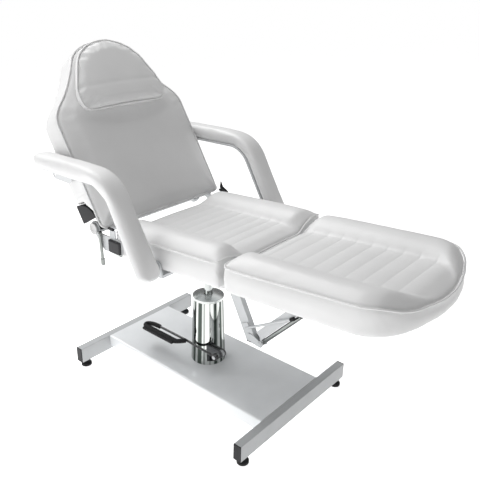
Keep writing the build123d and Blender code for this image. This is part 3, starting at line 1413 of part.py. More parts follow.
def back_frame():
    """The steel frame behind the back with the ears of the gas spring."""
    spans = (
        (FRAME_START, FRAME_END),
        (FRAME_Y - FRAME_WIDTH / 2, FRAME_Y + FRAME_WIDTH / 2),
        (BACK_REAR, BACK_REAR + FRAME_DEPTH),
    )
    body = both_sides(hollow_block(*spans, FRAME_WALL, 0))
    half = FRAME_Y - FRAME_WIDTH / 2
    for start in (SPRING_CROSS_START, FRAME_END - FRAME_CROSS):
        spans = ((start, start + FRAME_CROSS), (-half, half), (BACK_REAR, BACK_REAR + FRAME_DEPTH))
        body += hollow_block(*spans, FRAME_WALL, 1)
    eye = SPRING_EYE
    points = (
        (SPRING_RISE, SPRING_TOP_DEPTH - eye),
        (SPRING_CROSS_START, BACK_REAR + FRAME_WALL),
        (SPRING_CROSS_START, BACK_REAR + FRAME_DEPTH),
        (SPRING_RISE, SPRING_TOP_DEPTH + eye),
    )
    for y_span in spring_ear_spans():
        body += plate_y(points, y_span) + rod_y(SPRING_RISE, SPRING_TOP_DEPTH, eye, y_span)
    body += spring_pin(SPRING_RISE, SPRING_TOP_DEPTH)
    return in_plane(BACK_PLANE, body)


def spring_ear_spans():
    """Where the two ears of each gas spring pin stand."""
    near = SPRING_EAR_GAP
    far = SPRING_EAR_GAP + SPRING_EAR
    return ((SPRING_Y - far, SPRING_Y - near), (SPRING_Y + near, SPRING_Y + far))


def back_lugs():
    """The two lugs that turn on the hinge tube."""
    y_span = (FRAME_Y - LUG_WIDTH / 2, FRAME_Y + LUG_WIDTH / 2)
    corner = LUG_RADIUS * sqrt(1 / 2)
    points = (
        (HINGE_RISE, HINGE_DEPTH + LUG_RADIUS),
        (FRAME_START, BACK_REAR + FRAME_DEPTH),
        (FRAME_START, BACK_REAR),
        (HINGE_RISE + corner, HINGE_DEPTH - corner),
        (HINGE_RISE, HINGE_DEPTH),
    )
    lug = plate_y(points, y_span) + rod_y(HINGE_RISE, HINGE_DEPTH, LUG_RADIUS, y_span)
    lug -= rod_y(HINGE_RISE, HINGE_DEPTH, HINGE_RADIUS + RUN_GAP, y_span)
    return in_plane(BACK_PLANE, both_sides(lug))


def head_pillow():
    """The head pillow on the upper end of the back."""
    seat = -BACK_CROWN - SOFT_GAP
    sections = []
    for place, width, depth in PILLOW_SHARES:
        s = PILLOW_START + place * PILLOW_LENGTH
        half = width * PILLOW_HALF
        edge = seat - PILLOW_EDGE * depth
        front = seat - PILLOW_THICK * depth
        outline = Line((s, -half, seat), (s, half, seat))
        outline += Line((s, half, seat), (s, half, edge))
        outline += ThreePointArc((s, half, edge), (s, 0, front), (s, -half, edge))
        outline += Line((s, -half, edge), (s, -half, seat))
        sections.append(make_face(outline))
    return in_plane(BACK_PLANE, loft(sections, ruled=True))


# gas spring
def spring_anchor():
    """Two plates from the rear cross tube down to the foot of the gas spring."""
    rear = seat_point(-RAIL_REAR, RAIL_LOW)
    front = seat_point(-RAIL_REAR + CROSS_WIDTH, RAIL_LOW)
    ring = SPRING_EYE + SPRING_EAR
    points = (
        (SPRING_FOOT_X, SPRING_FOOT_Z - ring),
        front,
        rear,
        (SPRING_FOOT_X, SPRING_FOOT_Z + ring),
    )
    body = Part()
    for y_span in spring_ear_spans():
        body += plate_y(points, y_span) + rod_y(SPRING_FOOT_X, SPRING_FOOT_Z, ring, y_span)
    return body + spring_pin(SPRING_FOOT_X, SPRING_FOOT_Z)


def spring_pin(x, z):
    """A headed pin through one pair of gas spring ears."""
    half = SPRING_EAR_GAP + SPRING_EAR
    pin = rod_y(x, z, SPRING_PIN_RADIUS, (SPRING_Y - half, SPRING_Y + half))
    for start in (SPRING_Y - half - PIN_HEAD, SPRING_Y + half):
        pin += rod_y(x, z, PIN_HEAD_RADIUS, (start, start + PIN_HEAD))
    return pin


def spring_bar(start, end, radius):
    """A round bar on the gas spring's axis."""
    first_x, first_z = along(SPRING_FOOT_X, SPRING_FOOT_Z, SPRING_ANGLE, start)
    last_x, last_z = along(SPRING_FOOT_X, SPRING_FOOT_Z, SPRING_ANGLE, end)
    return rod_between((first_x, SPRING_Y, first_z), (last_x, SPRING_Y, last_z), radius)


def eye_span():
    """The width of the gas spring's end eyes."""
    return (SPRING_Y - SPRING_EYE_WIDTH / 2, SPRING_Y + SPRING_EYE_WIDTH / 2)


def spring_cylinder():
    """The gas spring's cylinder with its foot eye."""
    body = rod_y(SPRING_FOOT_X, SPRING_FOOT_Z, SPRING_EYE, eye_span())
    body += spring_bar(0, SPRING_START + OVERRUN, SPRING_ROD_RADIUS + EYE_GAP)
    body += spring_bar(SPRING_START, SPRING_END, SPRING_RADIUS)
    body -= rod_y(SPRING_FOOT_X, SPRING_FOOT_Z, SPRING_PIN_RADIUS + RUN_GAP, eye_span())
    bore = spring_bar(SPRING_START + SPRING_EAR, SPRING_END - SPRING_EAR, SPRING_BORE)
    bore += spring_bar(SPRING_END - 2 * SPRING_EAR, SPRING_END + OVERRUN, SPRING_ROD_RADIUS + RUN_GAP)
    return body - bore


def spring_rod():
    """The gas spring's rod with its upper eye."""
    body = spring_bar(SPRING_SPAN - SPRING_ROD_LENGTH, SPRING_SPAN, SPRING_ROD_RADIUS)
    body += rod_y(SPRING_TOP_X, SPRING_TOP_Z, SPRING_EYE, eye_span())
    return body - rod_y(SPRING_TOP_X, SPRING_TOP_Z, SPRING_PIN_RADIUS + RUN_GAP, eye_span())


# release lever
def recline_lever():
    """The release lever beside the hinge."""
    y = -SIDE_OUTER - FREE_GAP - LEVER_HUB_WIDTH / 2
    y_span = (y - LEVER_HUB_WIDTH / 2, y + LEVER_HUB_WIDTH / 2)
    end_x, end_z = along(LEVER_X, LEVER_Z, LEVER_ANGLE, LEVER_LENGTH)
    body = rod_y(LEVER_X, LEVER_Z, LEVER_HUB, y_span)
    body += rod_between((LEVER_X, y, LEVER_Z), (end_x, y, end_z), LEVER_ROD_RADIUS)
    return body - rod_y(LEVER_X, LEVER_Z, LEVER_PIN_RADIUS + RUN_GAP, y_span)


def lever_knob():
    """The rounded grip on the release lever."""
    y = -SIDE_OUTER - FREE_GAP - LEVER_HUB_WIDTH / 2
    first_x, first_z = along(LEVER_X, LEVER_Z, LEVER_ANGLE, LEVER_LENGTH - LEVER_KNOB / 2)
    last_x, last_z = along(LEVER_X, LEVER_Z, LEVER_ANGLE, LEVER_LENGTH + LEVER_KNOB / 2)
    knob = rod_between((first_x, y, first_z), (last_x, y, last_z), LEVER_KNOB_RADIUS)
    knob += Pos(last_x, y, last_z) * Sphere(LEVER_KNOB_RADIUS)
    end_x, end_z = along(LEVER_X, LEVER_Z, LEVER_ANGLE, LEVER_LENGTH + RUN_GAP)
    return knob - rod_between((LEVER_X, y, LEVER_Z), (end_x, y, end_z), LEVER_ROD_RADIUS + RUN_GAP)


# armrests
def arm_corner(depth):
    """The corner of the armrest's middle line, moved to its hollow side."""
    rise = radians(ARM_RISE)
    dive = radians(ARM_DIVE)
    rear = (sin(rise), -cos(rise))
    front = (-sin(dive), -cos(dive))
    scale = depth / (1 + rear[0] * front[0] + rear[1] * front[1])
    return ARM_CORNER_X + (rear[0] + front[0]) * scale, ARM_CORNER_Z + (rear[1] + front[1]) * scale


def arm_line(y, depth, rear_inset, front_inset):
    """The bent line of an armrest piece at a depth below the middle line."""
    x, z = arm_corner(depth)
    plain_x, plain_z = arm_corner(0)
    rear_x, rear_z = along(plain_x, plain_z, ARM_RISE, rear_inset - ARM_REAR_LENGTH, -depth)
    front_x, front_z = along(plain_x, plain_z, -ARM_DIVE, ARM_FRONT_LENGTH - front_inset, -depth)
    return FilletPolyline(
        (rear_x, y, rear_z), (x, y, z), (front_x, y, front_z), radius=ARM_BEND - depth
    )


def arm_section(line):
    """The plane across the start of an armrest line."""
    return Plane(origin=line @ 0, x_dir=(0, 1, 0), z_dir=line % 0)


def corner_cuts(x, z, angle, y, radius):
    """Cutters that round both corners of a pad end, the end facing along the angle."""
    turn = radians(angle)
    seat = Plane(origin=(x, y, z), x_dir=(cos(turn), 0, sin(turn)), z_dir=(-sin(turn), 0, cos(turn)))
    cuts = Part()
    for side in (-1, 1):
        middle = side * (PAD_WIDTH / 2 - radius)
        y_span = sorted((middle, side * (PAD_WIDTH / 2 + OVERRUN)))
        corner = block((-radius, OVERRUN), y_span, (-PAD_THICK, PAD_THICK))
        corner -= Pos(-radius, middle, 0) * Cylinder(radius, 3 * PAD_THICK)
        cuts += seat.location * corner
    return cuts


def arm_pad():
    """One bent armrest pad with rounded edges and ends."""
    y = PAD_Y + PAD_WIDTH / 2
    line = arm_line(y, 0, 0, 0)
    pad = sweep(arm_section(line) * RectangleRounded(PAD_WIDTH, PAD_THICK, PAD_ROUND), path=line)
    start = line @ 0
    end = line @ 1
    pad -= corner_cuts(start.X, start.Z, ARM_RISE + 180, y, PAD_REAR_ROUND)
    pad -= corner_cuts(end.X, end.Z, -ARM_DIVE, y, PAD_REAR_ROUND)
    return pad


def strap_depth():
    """How far the strap's middle lies below the pad's middle line."""
    return PAD_THICK / 2 + SOFT_GAP + STRAP_THICK / 2


def arm_strap():
    """The steel strap under one pad with the tab that hangs on the pivot."""
    y = STRAP_Y + STRAP_WIDTH / 2
    line = arm_line(y, strap_depth(), STRAP_REAR_INSET, STRAP_FRONT_INSET)
    strap = sweep(arm_section(line) * Rectangle(STRAP_WIDTH, STRAP_THICK), path=line)
    corner_x, corner_z = arm_corner(0)
    run = cos(radians(ARM_DIVE)) * (PIVOT_X - corner_x) + sin(radians(ARM_DIVE)) * (corner_z - PIVOT_Z)
    high = -PAD_THICK / 2 - SOFT_GAP
    low = high - STRAP_THICK
    first = run - TAB_RUN / 2
    last = run + TAB_RUN / 2
    outline = ((first, high), (last, high), (last, low), (first, low))
    wing = [along(corner_x, corner_z, -ARM_DIVE, t, p) for t, p in outline]
    strap += plate_y(wing, (TAB_Y, STRAP_Y + STRAP_WIDTH / 2))
    y_span = (TAB_Y, TAB_Y + TAB_THICK)
    strap += rod_y(PIVOT_X, PIVOT_Z, TAB_RADIUS, y_span)
    middle = TAB_Y + TAB_THICK / 2
    strap -= rod_y(PIVOT_X, PIVOT_Z, PIVOT_RADIUS + RUN_GAP, (TAB_Y - OVERRUN, TAB_Y + TAB_THICK))
    return strap - rod_y(PIVOT_X, PIVOT_Z, PIVOT_COLLAR + RUN_GAP, (middle - RUN_GAP, TAB_Y + TAB_THICK))


def arm_pivot_brackets():
    """The outriggers under the seat with the plates and headed pins of the armrests."""
    u, w = seat_place(PIVOT_X, PIVOT_Z)
    half = OUTRIGGER_LENGTH / 2
    rail_side = RAIL_Y + RAIL_WIDTH / 2
    low = -BOARD - OUTRIGGER_THICK
    arm = block((u - half, u + half), (rail_side, SIDE_OUTER), (low, -BOARD))
    y_span = (SIDE_PLATE_Y, SIDE_OUTER)
    radius = PIVOT_PLATE_RADIUS
    points = ((u - half, low), (u + half, low), (u + radius, w), (u - radius, w))
    arm += plate_y(points, y_span) + rod_y(u, w, radius, y_span)
    arm += rod_y(u, w, PIVOT_COLLAR, (SIDE_OUTER, TAB_Y - RUN_GAP))
    middle = TAB_Y + TAB_THICK / 2
    end = TAB_Y + TAB_THICK - RUN_GAP
    arm += rod_y(u, w, PIVOT_RADIUS, (SIDE_OUTER, end)) + rod_y(u, w, PIVOT_COLLAR, (middle, end))
    return in_plane(SEAT_PLANE, both_sides(arm))


def seat_place(x, z):
    """Place in the raked seat plane of a world point."""
    place = SEAT_PLANE.to_local_coords(Vector(x, 0, z))
    return place.X, place.Z


def turned(x, z, about_x, about_z, angle):
    """A point turned about the chair's cross axis."""
    turn = radians(angle)
    dx = x - about_x
    dz = z - about_z
    return about_x + dx * cos(turn) + dz * sin(turn), about_z - dx * sin(turn) + dz * cos(turn)


def track_points():
    """Where the back's pin runs in the armrest from flat to upright."""
    points = []
    for step in range(TRACK_STEPS + 1):
        recline = -RECLINE_BACK + (RECLINE_BACK + RECLINE_UP) * step / TRACK_STEPS
        x, z = turned(TRACK_X, TRACK_Z, HINGE_X, HINGE_Z, recline)
        points.append(turned(x, z, PIVOT_X, PIVOT_Z, -ARM_RATIO * recline))
    return points


def arm_track():
    """The slotted plate under one pad that the back's pin guides."""
    points = track_points()
    radius = TRACK_PIN_RADIUS + SIDE_GAP
    rim = radius + TRACK_MARGIN
    left = min(x for x, z in points) - rim
    right = max(x for x, z in points) + rim
    low = min(z for x, z in points) - rim
    rise = radians(ARM_RISE)
    under = (PAD_THICK / 2 + SOFT_GAP + STRAP_THICK) / cos(rise)
    slope = sin(rise) / cos(rise)
    tops = [ARM_CORNER_Z + (x - ARM_CORNER_X) * slope - under for x in (left, right)]
    y_span = (STRAP_Y, STRAP_Y + TRACK_THICK)
    through = (STRAP_Y - OVERRUN, STRAP_Y + TRACK_THICK + OVERRUN)
    outline = (
        (left, low + rim),
        (left + rim, low),
        (right - rim, low),
        (right, low + rim),
        (right, tops[1]),
        (left, tops[0]),
    )
    plate = plate_y(outline, y_span)
    for x, z in points:
        plate -= rod_y(x, z, radius, through)
    for first, second in zip(points, points[1:]):
        angle = degrees(atan2(second[1] - first[1], second[0] - first[0]))
        length = hypot(second[0] - first[0], second[1] - first[1])
        corners = ((0, -radius), (length, -radius), (length, radius), (0, radius))
        plate -= plate_y([along(*first, angle, t, p) for t, p in corners], through)
    return plate


def track_pins():
    """The two headed pins on the back that run in the armrest tracks."""
    inner = BACK_HALF - TRACK_PIN_SEAT
    head = STRAP_Y + TRACK_THICK + SIDE_GAP
    pin = rod_y(TRACK_X, TRACK_Z, TRACK_PIN_RADIUS, (inner, head))
    pin += rod_y(TRACK_X, TRACK_Z, TRACK_PIN_HEAD, (head, head + TRACK_PIN_HEAD_THICK))
    return both_sides(pin)


def write_parts(pieces):
    """Write one file for each named piece."""
    os.makedirs("parts", exist_ok=True)
    for name, piece in pieces.items():
        solids = piece.solids()
        shape = solids[0] if len(solids) == 1 else Compound(solids)
        export_step(shape, "parts/" + name + ".step")


def main():
    pad = arm_pad()
    strap = arm_strap() + arm_track()
    pieces = {
        "base_plate": base_plate(),
        "rear_floor_tube": base_cross_tube(-1),
        "front_floor_tube": base_cross_tube(1),
        "tube_end_caps": tube_end_caps(),
        "foot_pads": foot_pads(),
        "foot_studs": foot_studs(),
        "column_cover": column_cover(),
        "column_cap": column_cap(),
        "pump_body": pump_body(),
        "pump_bolts": pump_bolts(),
        "guide_bush": guide_bush(),
        "piston_head": piston_head(),
        "piston_rod": piston_rod(),
        "pedal_bracket": pedal_bracket(),
        "pedal_rod": pedal_rod(),
        "pedal_crank": pedal_crank(),
        "pump_plunger": pump_plunger(),
        "pedal_grip": pedal_grip(),
        "swivel_saddle": swivel_saddle(),
        "seat_rails": seat_rails(),
        "seat_cross_tubes": seat_cross_tubes(),
        "rear_beam": rear_beam(),
        "seat_board": seat_board(),
        "seat_cushion": seat_cushion(),
        "leg_hinge_ears": leg_hinge_ears(),
        "leg_frame": leg_frame(),
        "leg_board": leg_board(),
        "leg_cushion": leg_cushion(),
        "stay_bracket": stay_bracket(),
        "leg_arm": leg_arm(),
        "leg_arm_cap": leg_arm_cap(),
        "stay_ears": stay_ears(),
        "stay_sleeve": stay_sleeve(),
        "stay_cylinder": stay_cylinder(),
        "stay_bar": stay_bar(),
        "stay_rod": stay_rod(),
        "leg_stop_rod": leg_stop_rod(),
        "leg_stop_buffer": leg_stop_buffer(),
        "hinge_tube": hinge_tube(),
        "hinge_tube_caps": hinge_tube_caps(),
        "hinge_brackets": hinge_brackets(),
        "lever_housing": lever_housing(),
        "housing_lip": housing_lip(),
        "bracket_trim": bracket_caps() + stop_plate(),
        "recline_lever": recline_lever() + lever_knob(),
        "back_cushion": back_cushion(),
        "back_panel": back_panel(),
        "recess_liner": recess_liner() + recess_covers(),
        "back_frame": back_frame() + back_lugs(),
        "head_pillow": head_pillow(),
        "spring_anchor": spring_anchor(),
        "spring_cylinder": spring_cylinder(),
        "spring_rod": spring_rod(),
        "arm_pivot_brackets": arm_pivot_brackets(),
        "track_pins": track_pins(),
        "pad_left": pad,
        "pad_right": mirror(pad, about=Plane.XZ),
        "strap_left": strap,
        "strap_right": mirror(strap, about=Plane.XZ),
    }
    write_parts(pieces)


main()
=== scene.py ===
import json
import math

import bmesh
import bpy
from mathutils import Matrix, Vector
from mathutils.bvhtree import BVHTree

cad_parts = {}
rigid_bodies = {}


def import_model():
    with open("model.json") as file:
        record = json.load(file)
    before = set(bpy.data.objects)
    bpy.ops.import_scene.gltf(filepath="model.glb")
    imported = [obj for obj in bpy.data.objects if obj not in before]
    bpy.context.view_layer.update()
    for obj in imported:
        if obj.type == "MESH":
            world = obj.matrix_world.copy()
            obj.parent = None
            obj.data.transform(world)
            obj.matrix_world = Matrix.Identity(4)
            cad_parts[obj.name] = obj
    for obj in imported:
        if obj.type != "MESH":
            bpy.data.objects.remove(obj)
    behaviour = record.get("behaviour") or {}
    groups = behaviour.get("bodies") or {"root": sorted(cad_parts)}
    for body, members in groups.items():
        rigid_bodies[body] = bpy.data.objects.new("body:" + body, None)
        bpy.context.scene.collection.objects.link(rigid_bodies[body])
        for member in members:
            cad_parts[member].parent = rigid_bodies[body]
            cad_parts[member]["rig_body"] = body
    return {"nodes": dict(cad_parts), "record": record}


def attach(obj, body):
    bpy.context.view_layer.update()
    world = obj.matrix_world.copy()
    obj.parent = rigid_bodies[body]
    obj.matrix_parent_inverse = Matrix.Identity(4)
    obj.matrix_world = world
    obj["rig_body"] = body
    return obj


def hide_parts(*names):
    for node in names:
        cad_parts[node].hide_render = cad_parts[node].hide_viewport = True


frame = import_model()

bl_info = {
    "name": "Treatment chair dressing",
    "version": (1, 0, 0),
    "blender": (4, 5, 0),
    "location": "View3D > Sidebar > Chair",
    "description": "Upholstery, metalwork finishes and studio for a pump-up treatment chair",
    "category": "Object",
}

# planes that the cushions lie in, metres and degrees
SEAT_HEIGHT = 0.552
SEAT_RAKE = 4.3
LEG_DROP = 0.004
BACK_FOOT = (-0.209, 0.0, 0.631)
BACK_LEAN = 32.2

# seat and leg rest cushions
SEAT_REAR = -0.170
SEAT_FRONT = 0.290
SEAT_HALF = 0.270
LEG_REAR = 0.308
LEG_FRONT = 0.872
LEG_EDGE = 0.085
LEG_TIP_EDGE = 0.050
PANEL_HALF = 0.148
SEAT_SEAMS = (-0.124, 0.042, 9)
LEG_SEAMS = (0.354, 0.0525, 9)
# share of the leg rest's length, of its half width and of its edge height
LEG_SHARES = (
    (0.0, 1.0, 1.0),
    (0.695, 1.0, 1.0),
    (0.76, 0.995, 1.0),
    (0.803, 0.981, 1.0),
    (0.853, 0.926, 0.85),
    (0.89, 0.85, 0.62),
    (0.926, 0.741, 0.35),
    (0.965, 0.519, 0.12),
    (0.988, 0.3, 0.03),
    (1.0, 0.12, 0.0),
)

# back cushion and pillow
BACK_LENGTH = 0.650
BACK_HALF = 0.287
BOXING_SEAM = 0.136
# share of the back's length and of its half width
BACK_SHARES = (
    (0.0, 0.955),
    (0.006, 0.983),
    (0.018, 1.0),
    (0.592, 1.0),
    (0.63, 0.968),
    (0.663, 0.913),
    (0.69, 0.85),
    (0.715, 0.787),
    (0.762, 0.693),
    (0.831, 0.575),
    (0.883, 0.498),
    (0.923, 0.446),
    (0.95, 0.39),
    (0.972, 0.313),
    (0.988, 0.21),
    (1.0, 0.075),
)
PILLOW_START = 0.395
PILLOW_LENGTH = 0.243
PILLOW_HALF = 0.190
PILLOW_CREASE = 0.475
CREASE_DEPTH = 0.0016
CREASE_WIDTH = 0.009
# share of the pillow's length and of its half width
PILLOW_SHARES = (
    (0.0, 0.83),
    (0.03, 0.93),
    (0.08, 0.985),
    (0.14, 1.0),
    (0.24, 1.0),
    (0.37, 0.947),
    (0.5, 0.87),
    (0.64, 0.784),
    (0.75, 0.713),
    (0.86, 0.58),
    (0.94, 0.42),
    (1.0, 0.2),
)

# how far each cover is held still, in its own plane's height
SIDE_HOLD = 0.030
BACK_HOLD = 0.012
PILLOW_HOLD = -0.016

# how squarely a face must look out of the plane, or to its side, to carry a seam
FRONT_FACING = 0.5
PILLOW_FACING = -0.4
SIDE_FACING = 0.6

# softness of the covers, as a share, and rounds of smoothing of their corners
COVER_ROUNDS = 3
PILLOW_ROUNDS = 4
PAD_ROUNDS = 6
PILLOW_GRID_SHARE = 0.7
PAD_GRID_SHARE = 0.85

# seams
SEAM_FADE = 0.02
SEAM_MARGIN = 0.05
BOXING_DEPTH_SHARE = 0.6
DIP_REACH = 3

# mesh and cloth
MERGE = 0.00002
SMOOTHING = 0.5
EASE_SEGMENTS = 2
SHEET_ANGLE = math.radians(0.1)
EDGE_ANGLE = math.radians(32.0)
CLOTH_FRAMES = 20
CLOTH_QUALITY = 4
CLOTH_TENSION = 25.0
CLOTH_BENDING = 4.0
SETTLE_ROUNDS = 5
RING_SIDES = 10
PIPING_STEP = 0.006
PIPING_INSET = 0.007
PIPING_SINK = 0.9
PIPING_CORNER = 0.010
PIPING_TUCK_SHARE = 0.4
RAY_START = 0.3

# camera, from the photograph's viewpoint
CAMERA_PLACE = (1.352, -1.4514, 1.4235)
CAMERA_AZIMUTH = 39.775
CAMERA_ELEVATION = 23.437
CAMERA_ROLL = 1.279
CAMERA_LENS = 46.33
SENSOR = 36.0

# studio
FLOOR_REACH = 90.0
FLOOR_CELLS = 4
FLOOR_ROUGHNESS = 0.7
FLOOR_WEAR = (6.0, 2.0, 0.65, 0.75)
FLOOR_GLOW = 0.80
WORLD_STRENGTH = 0.22
WHITE = (1.0, 1.0, 1.0, 1.0)
LIGHT_TARGET = (0.1, 0.0, 0.5)
# place, size and power of each soft light
LIGHTS = {
    "key": ((-0.9, -3.4, 1.1), (2.6, 2.0), 32.0),
    "top": ((-1.9, 0.1, 3.3), (2.6, 2.6), 105.0),
    "fill": ((2.2, -0.5, 3.4), (2.0, 2.0), 9.0),
}

# rigid nodes with the width of their eased edges
EASED = {
    "base_plate": 0.0012,
    "rear_floor_tube": 0.0012,
    "front_floor_tube": 0.0012,
    "tube_end_caps": 0.0010,
    "foot_pads": 0.0010,
    "column_cover": 0.0,
    "column_cap": 0.0006,
    "piston_rod": 0.0,
    "pedal_rod": 0.0006,
    "pedal_crank": 0.0005,
    "pedal_bracket": 0.0008,
    "swivel_saddle": 0.0010,
    "seat_rails": 0.0015,
    "seat_cross_tubes": 0.0010,
    "rear_beam": 0.0015,
    "leg_hinge_ears": 0.0005,
    "leg_arm": 0.0015,
    "leg_arm_cap": 0.0010,
    "stay_ears": 0.0006,
    "leg_stop_rod": 0.0004,
    "leg_stop_buffer": 0.0012,
    "hinge_tube": 0.0004,
    "hinge_tube_caps": 0.0008,
    "hinge_brackets": 0.0007,
    "bracket_trim": 0.0008,
    "lever_housing": 0.0008,
    "housing_lip": 0.0004,
    "spring_anchor": 0.0006,
    "arm_pivot_brackets": 0.0006,
    "leg_frame": 0.0012,
    "stay_bracket": 0.0007,
    "stay_sleeve": 0.0007,
    "stay_cylinder": 0.0005,
    "stay_bar": 0.0006,
    "stay_rod": 0.0004,
    "recess_liner": 0.0003,
    "back_frame": 0.0012,
    "spring_cylinder": 0.0006,
    "spring_rod": 0.0004,
    "strap_left": 0.0010,
    "strap_right": 0.0010,
    "recline_lever": 0.0004,
    "seat_board": 0.0015,
    "leg_board": 0.0015,
}

# nodes whose finish differs from their slot's, such as the boards that the cover wraps
OWN_FINISH = {
    "seat_board": "white_vinyl",
    "leg_board": "white_vinyl",
    # the column's chrome carries painted reflection streaks
    "column_cover": "column_painted_reflection_chrome",
    "column_cap": "soft_chrome",
    # the stays and the lever take chrome darkened as painted shade
    "stay_rod": "painted_shade_chrome",
    "stay_cylinder": "painted_shade_chrome",
    "recline_lever": "painted_shade_chrome",
    # the floor tubes take the plate's paint darkened as painted shade
    "rear_floor_tube": "tube_paint_painted_shade",
    "front_floor_tube": "tube_paint_painted_shade",
}

# texture rows: a cloud is scale, detail and shade, wear is scale, detail, low and high roughness,
# and a bump is scale, detail, strength and height
VINYL_ROUGHNESS = 0.42
VINYL_GLOSS = 0.40
VINYL_COAT = (0.06, 0.34)
VINYL_CLOUD = (7.0, 3.0, 0.965)
VINYL_WEAR = (38.0, 3.0, 0.38, 0.48)
VINYL_RIPPLE = (26.0, 3.0, 0.10, 0.0012)
GRAIN_STRENGTH = 0.16
GRAIN_HEIGHT = 0.00022
PAINT_COAT_ROUGHNESS = 0.08
PAINT_CLOUD = (9.0, 4.0, 0.95)
PAINT_WEAR_SCALE = (55.0, 3.0)
PAINT_WEAR_SHARES = (0.92, 1.1)
PAINT_PEEL = (420.0, 2.0, 0.04, 0.0002)
METAL_CLOUD = (14.0, 3.0, 0.93)
METAL_WEAR_SCALE = (160.0, 4.0)
METAL_POLISH = (240.0, 3.0, 0.02, 0.0002)
# the column's chrome, with dark and light streaks round its axis painted in as reflections
COLUMN_ROUGHNESS = 0.05
COLUMN_REFLECTION_STREAKS = (3.2, 1.5)
COLUMN_REFLECTION_BLEND = (0.48, 0.60)
COLUMN_WEAR = (160.0, 4.0, 0.03, 0.08)
COLUMN_RIPPLE = (30.0, 2.0, 0.02, 0.001)
MOULDING_GLOSS = 0.22
MOULDING_CLOUD = (24.0, 3.0, 1.2)
MOULDING_WEAR_SCALE = (70.0, 3.0)
MOULDING_WEAR_SHARES = (0.85, 1.15)
MOULDING_DETAIL = 3.0
MOULDING_HEIGHT = 0.0004
WOOD_ROUGHNESS = 0.55
WOOD_CLOUD = (9.0, 6.0, 0.72)
WOOD_BLEND = (0.4, 0.7)
WOOD_WEAR = (60.0, 3.0, 0.48, 0.65)
WOOD_GRAIN = (60.0, 5.0, 0.15, 0.0004)
WOOD_STRETCH = (1.0, 9.0, 1.0)
CLOUD_BLEND = (0.35, 0.65)

# colour, roughness and coat of paints; the first three take the panel's colours, and the tube paint is the
# plate's colour darkened as painted shade
PLATE_GLOSS = (0.16, 0.9)
FRAME_GLOSS = (0.34, 0.25)
TUBE_GLOSS = (0.42, 0.0)
# how much the plate's colour is darkened for the floor tubes' painted shade
TUBE_PAINTED_SHADE = 0.55
PAINTS = {
    "strap_paint": ((0.66, 0.67, 0.68), 0.36, 0.2),
    "spring_paint": ((0.02, 0.02, 0.022), 0.25, 0.4),
    "pump_iron": ((0.10, 0.105, 0.11), 0.5, 0.1),
}
# colour, least and most roughness, and stretch of the polish of metals
EVEN = (1.0, 1.0, 1.0)
BRUSHED = (1.0, 6.0, 1.0)
METALS = {
    "chrome": ((0.56, 0.58, 0.57), 0.04, 0.10, EVEN),
    # a darker copy of chrome: painted shade for the stays and the lever
    "painted_shade_chrome": ((0.30, 0.315, 0.305), 0.05, 0.12, EVEN),
    "soft_chrome": ((0.66, 0.68, 0.67), 0.16, 0.26, EVEN),
    "pin_steel": ((0.56, 0.57, 0.58), 0.22, 0.38, BRUSHED),
    "bush_brass": ((0.60, 0.44, 0.20), 0.2, 0.35, EVEN),
}
# colours of the painted reflection streaks on the column's chrome
COLUMN_DARK_REFLECTION = (0.07, 0.085, 0.075)
COLUMN_LIGHT_REFLECTION = (0.78, 0.80, 0.78)
# colour, roughness, grain scale and grain strength of mouldings
MOULDINGS = {
    "black_plastic": ((0.018, 0.018, 0.020), 0.42, 500.0, 0.10),
    "housing_plastic": ((0.035, 0.035, 0.038), 0.38, 380.0, 0.10),
    "white_plastic": ((0.56, 0.56, 0.56), 0.35, 400.0, 0.06),
    "black_rubber": ((0.016, 0.016, 0.017), 0.62, 300.0, 0.2),
}
# grain scale of the vinyls
VINYLS = {"white_vinyl": 900.0, "pad_skin": 1200.0}
PLYWOOD = (0.52, 0.38, 0.23)

# pedal grip, metres
GRIP_ROUTE = (
    (-0.188, -0.070),
    (-0.222, -0.071),
    (-0.252, -0.088),
    (-0.234, -0.107),
    (-0.072, -0.107),
    (-0.046, -0.073),
)
GRIP_HEIGHT = 0.165
GRIP_RADIUS = 0.0085
GRIP_ROUNDS = 14
GRIP_STEP = 0.005
TREAD_SPAN = (-0.232, -0.072)
TREAD_WIDTH = 0.030
TREAD_THICK = 0.011
TREAD_EASE = 0.003
RIB_WIDTH = 0.0025
RIB_HEIGHT = 0.002
RIB_PITCH = 0.008
RIB_EASE = 0.0006
RIB_SPAN_SHARE = 0.86


class ChairSizes(bpy.types.PropertyGroup):
    piping: bpy.props.FloatProperty(
        name="Piping radius", description="Radius of the piping cord", default=0.0030, unit="LENGTH"
    )
    seam: bpy.props.FloatProperty(
        name="Seam depth", description="How deep the sewn seams are drawn in", default=0.0011, unit="LENGTH"
    )
    seam_width: bpy.props.FloatProperty(
        name="Seam width", description="How wide a sewn seam's dip is", default=0.0032, unit="LENGTH"
    )
    voxel: bpy.props.FloatProperty(
        name="Cloth grid", description="Grid of the simulated covers", default=0.006, unit="LENGTH"
    )
    pressure: bpy.props.FloatProperty(
        name="Fill pressure", description="Pressure of the foam under the covers", default=4.0
    )
    swell: bpy.props.FloatProperty(
        name="Swell", description="The most that a cover may move", default=0.005, unit="LENGTH"
    )


class ChairColours(bpy.types.PropertyGroup):
    vinyl: bpy.props.FloatVectorProperty(
        name="Vinyl", description="Colour of the covers", subtype="COLOR", default=(0.80, 0.80, 0.80)
    )
    frame_paint: bpy.props.FloatVectorProperty(
        name="Frame paint", description="Colour of the painted tubes", subtype="COLOR",
        default=(0.61, 0.625, 0.635),
    )
    plate_paint: bpy.props.FloatVectorProperty(
        name="Plate paint", description="Colour of the base plate", subtype="COLOR",
        default=(0.94, 0.96, 0.975),
    )
    floor: bpy.props.FloatVectorProperty(
        name="Floor", description="Colour of the studio floor", subtype="COLOR", default=(0.90, 0.90, 0.90)
    )


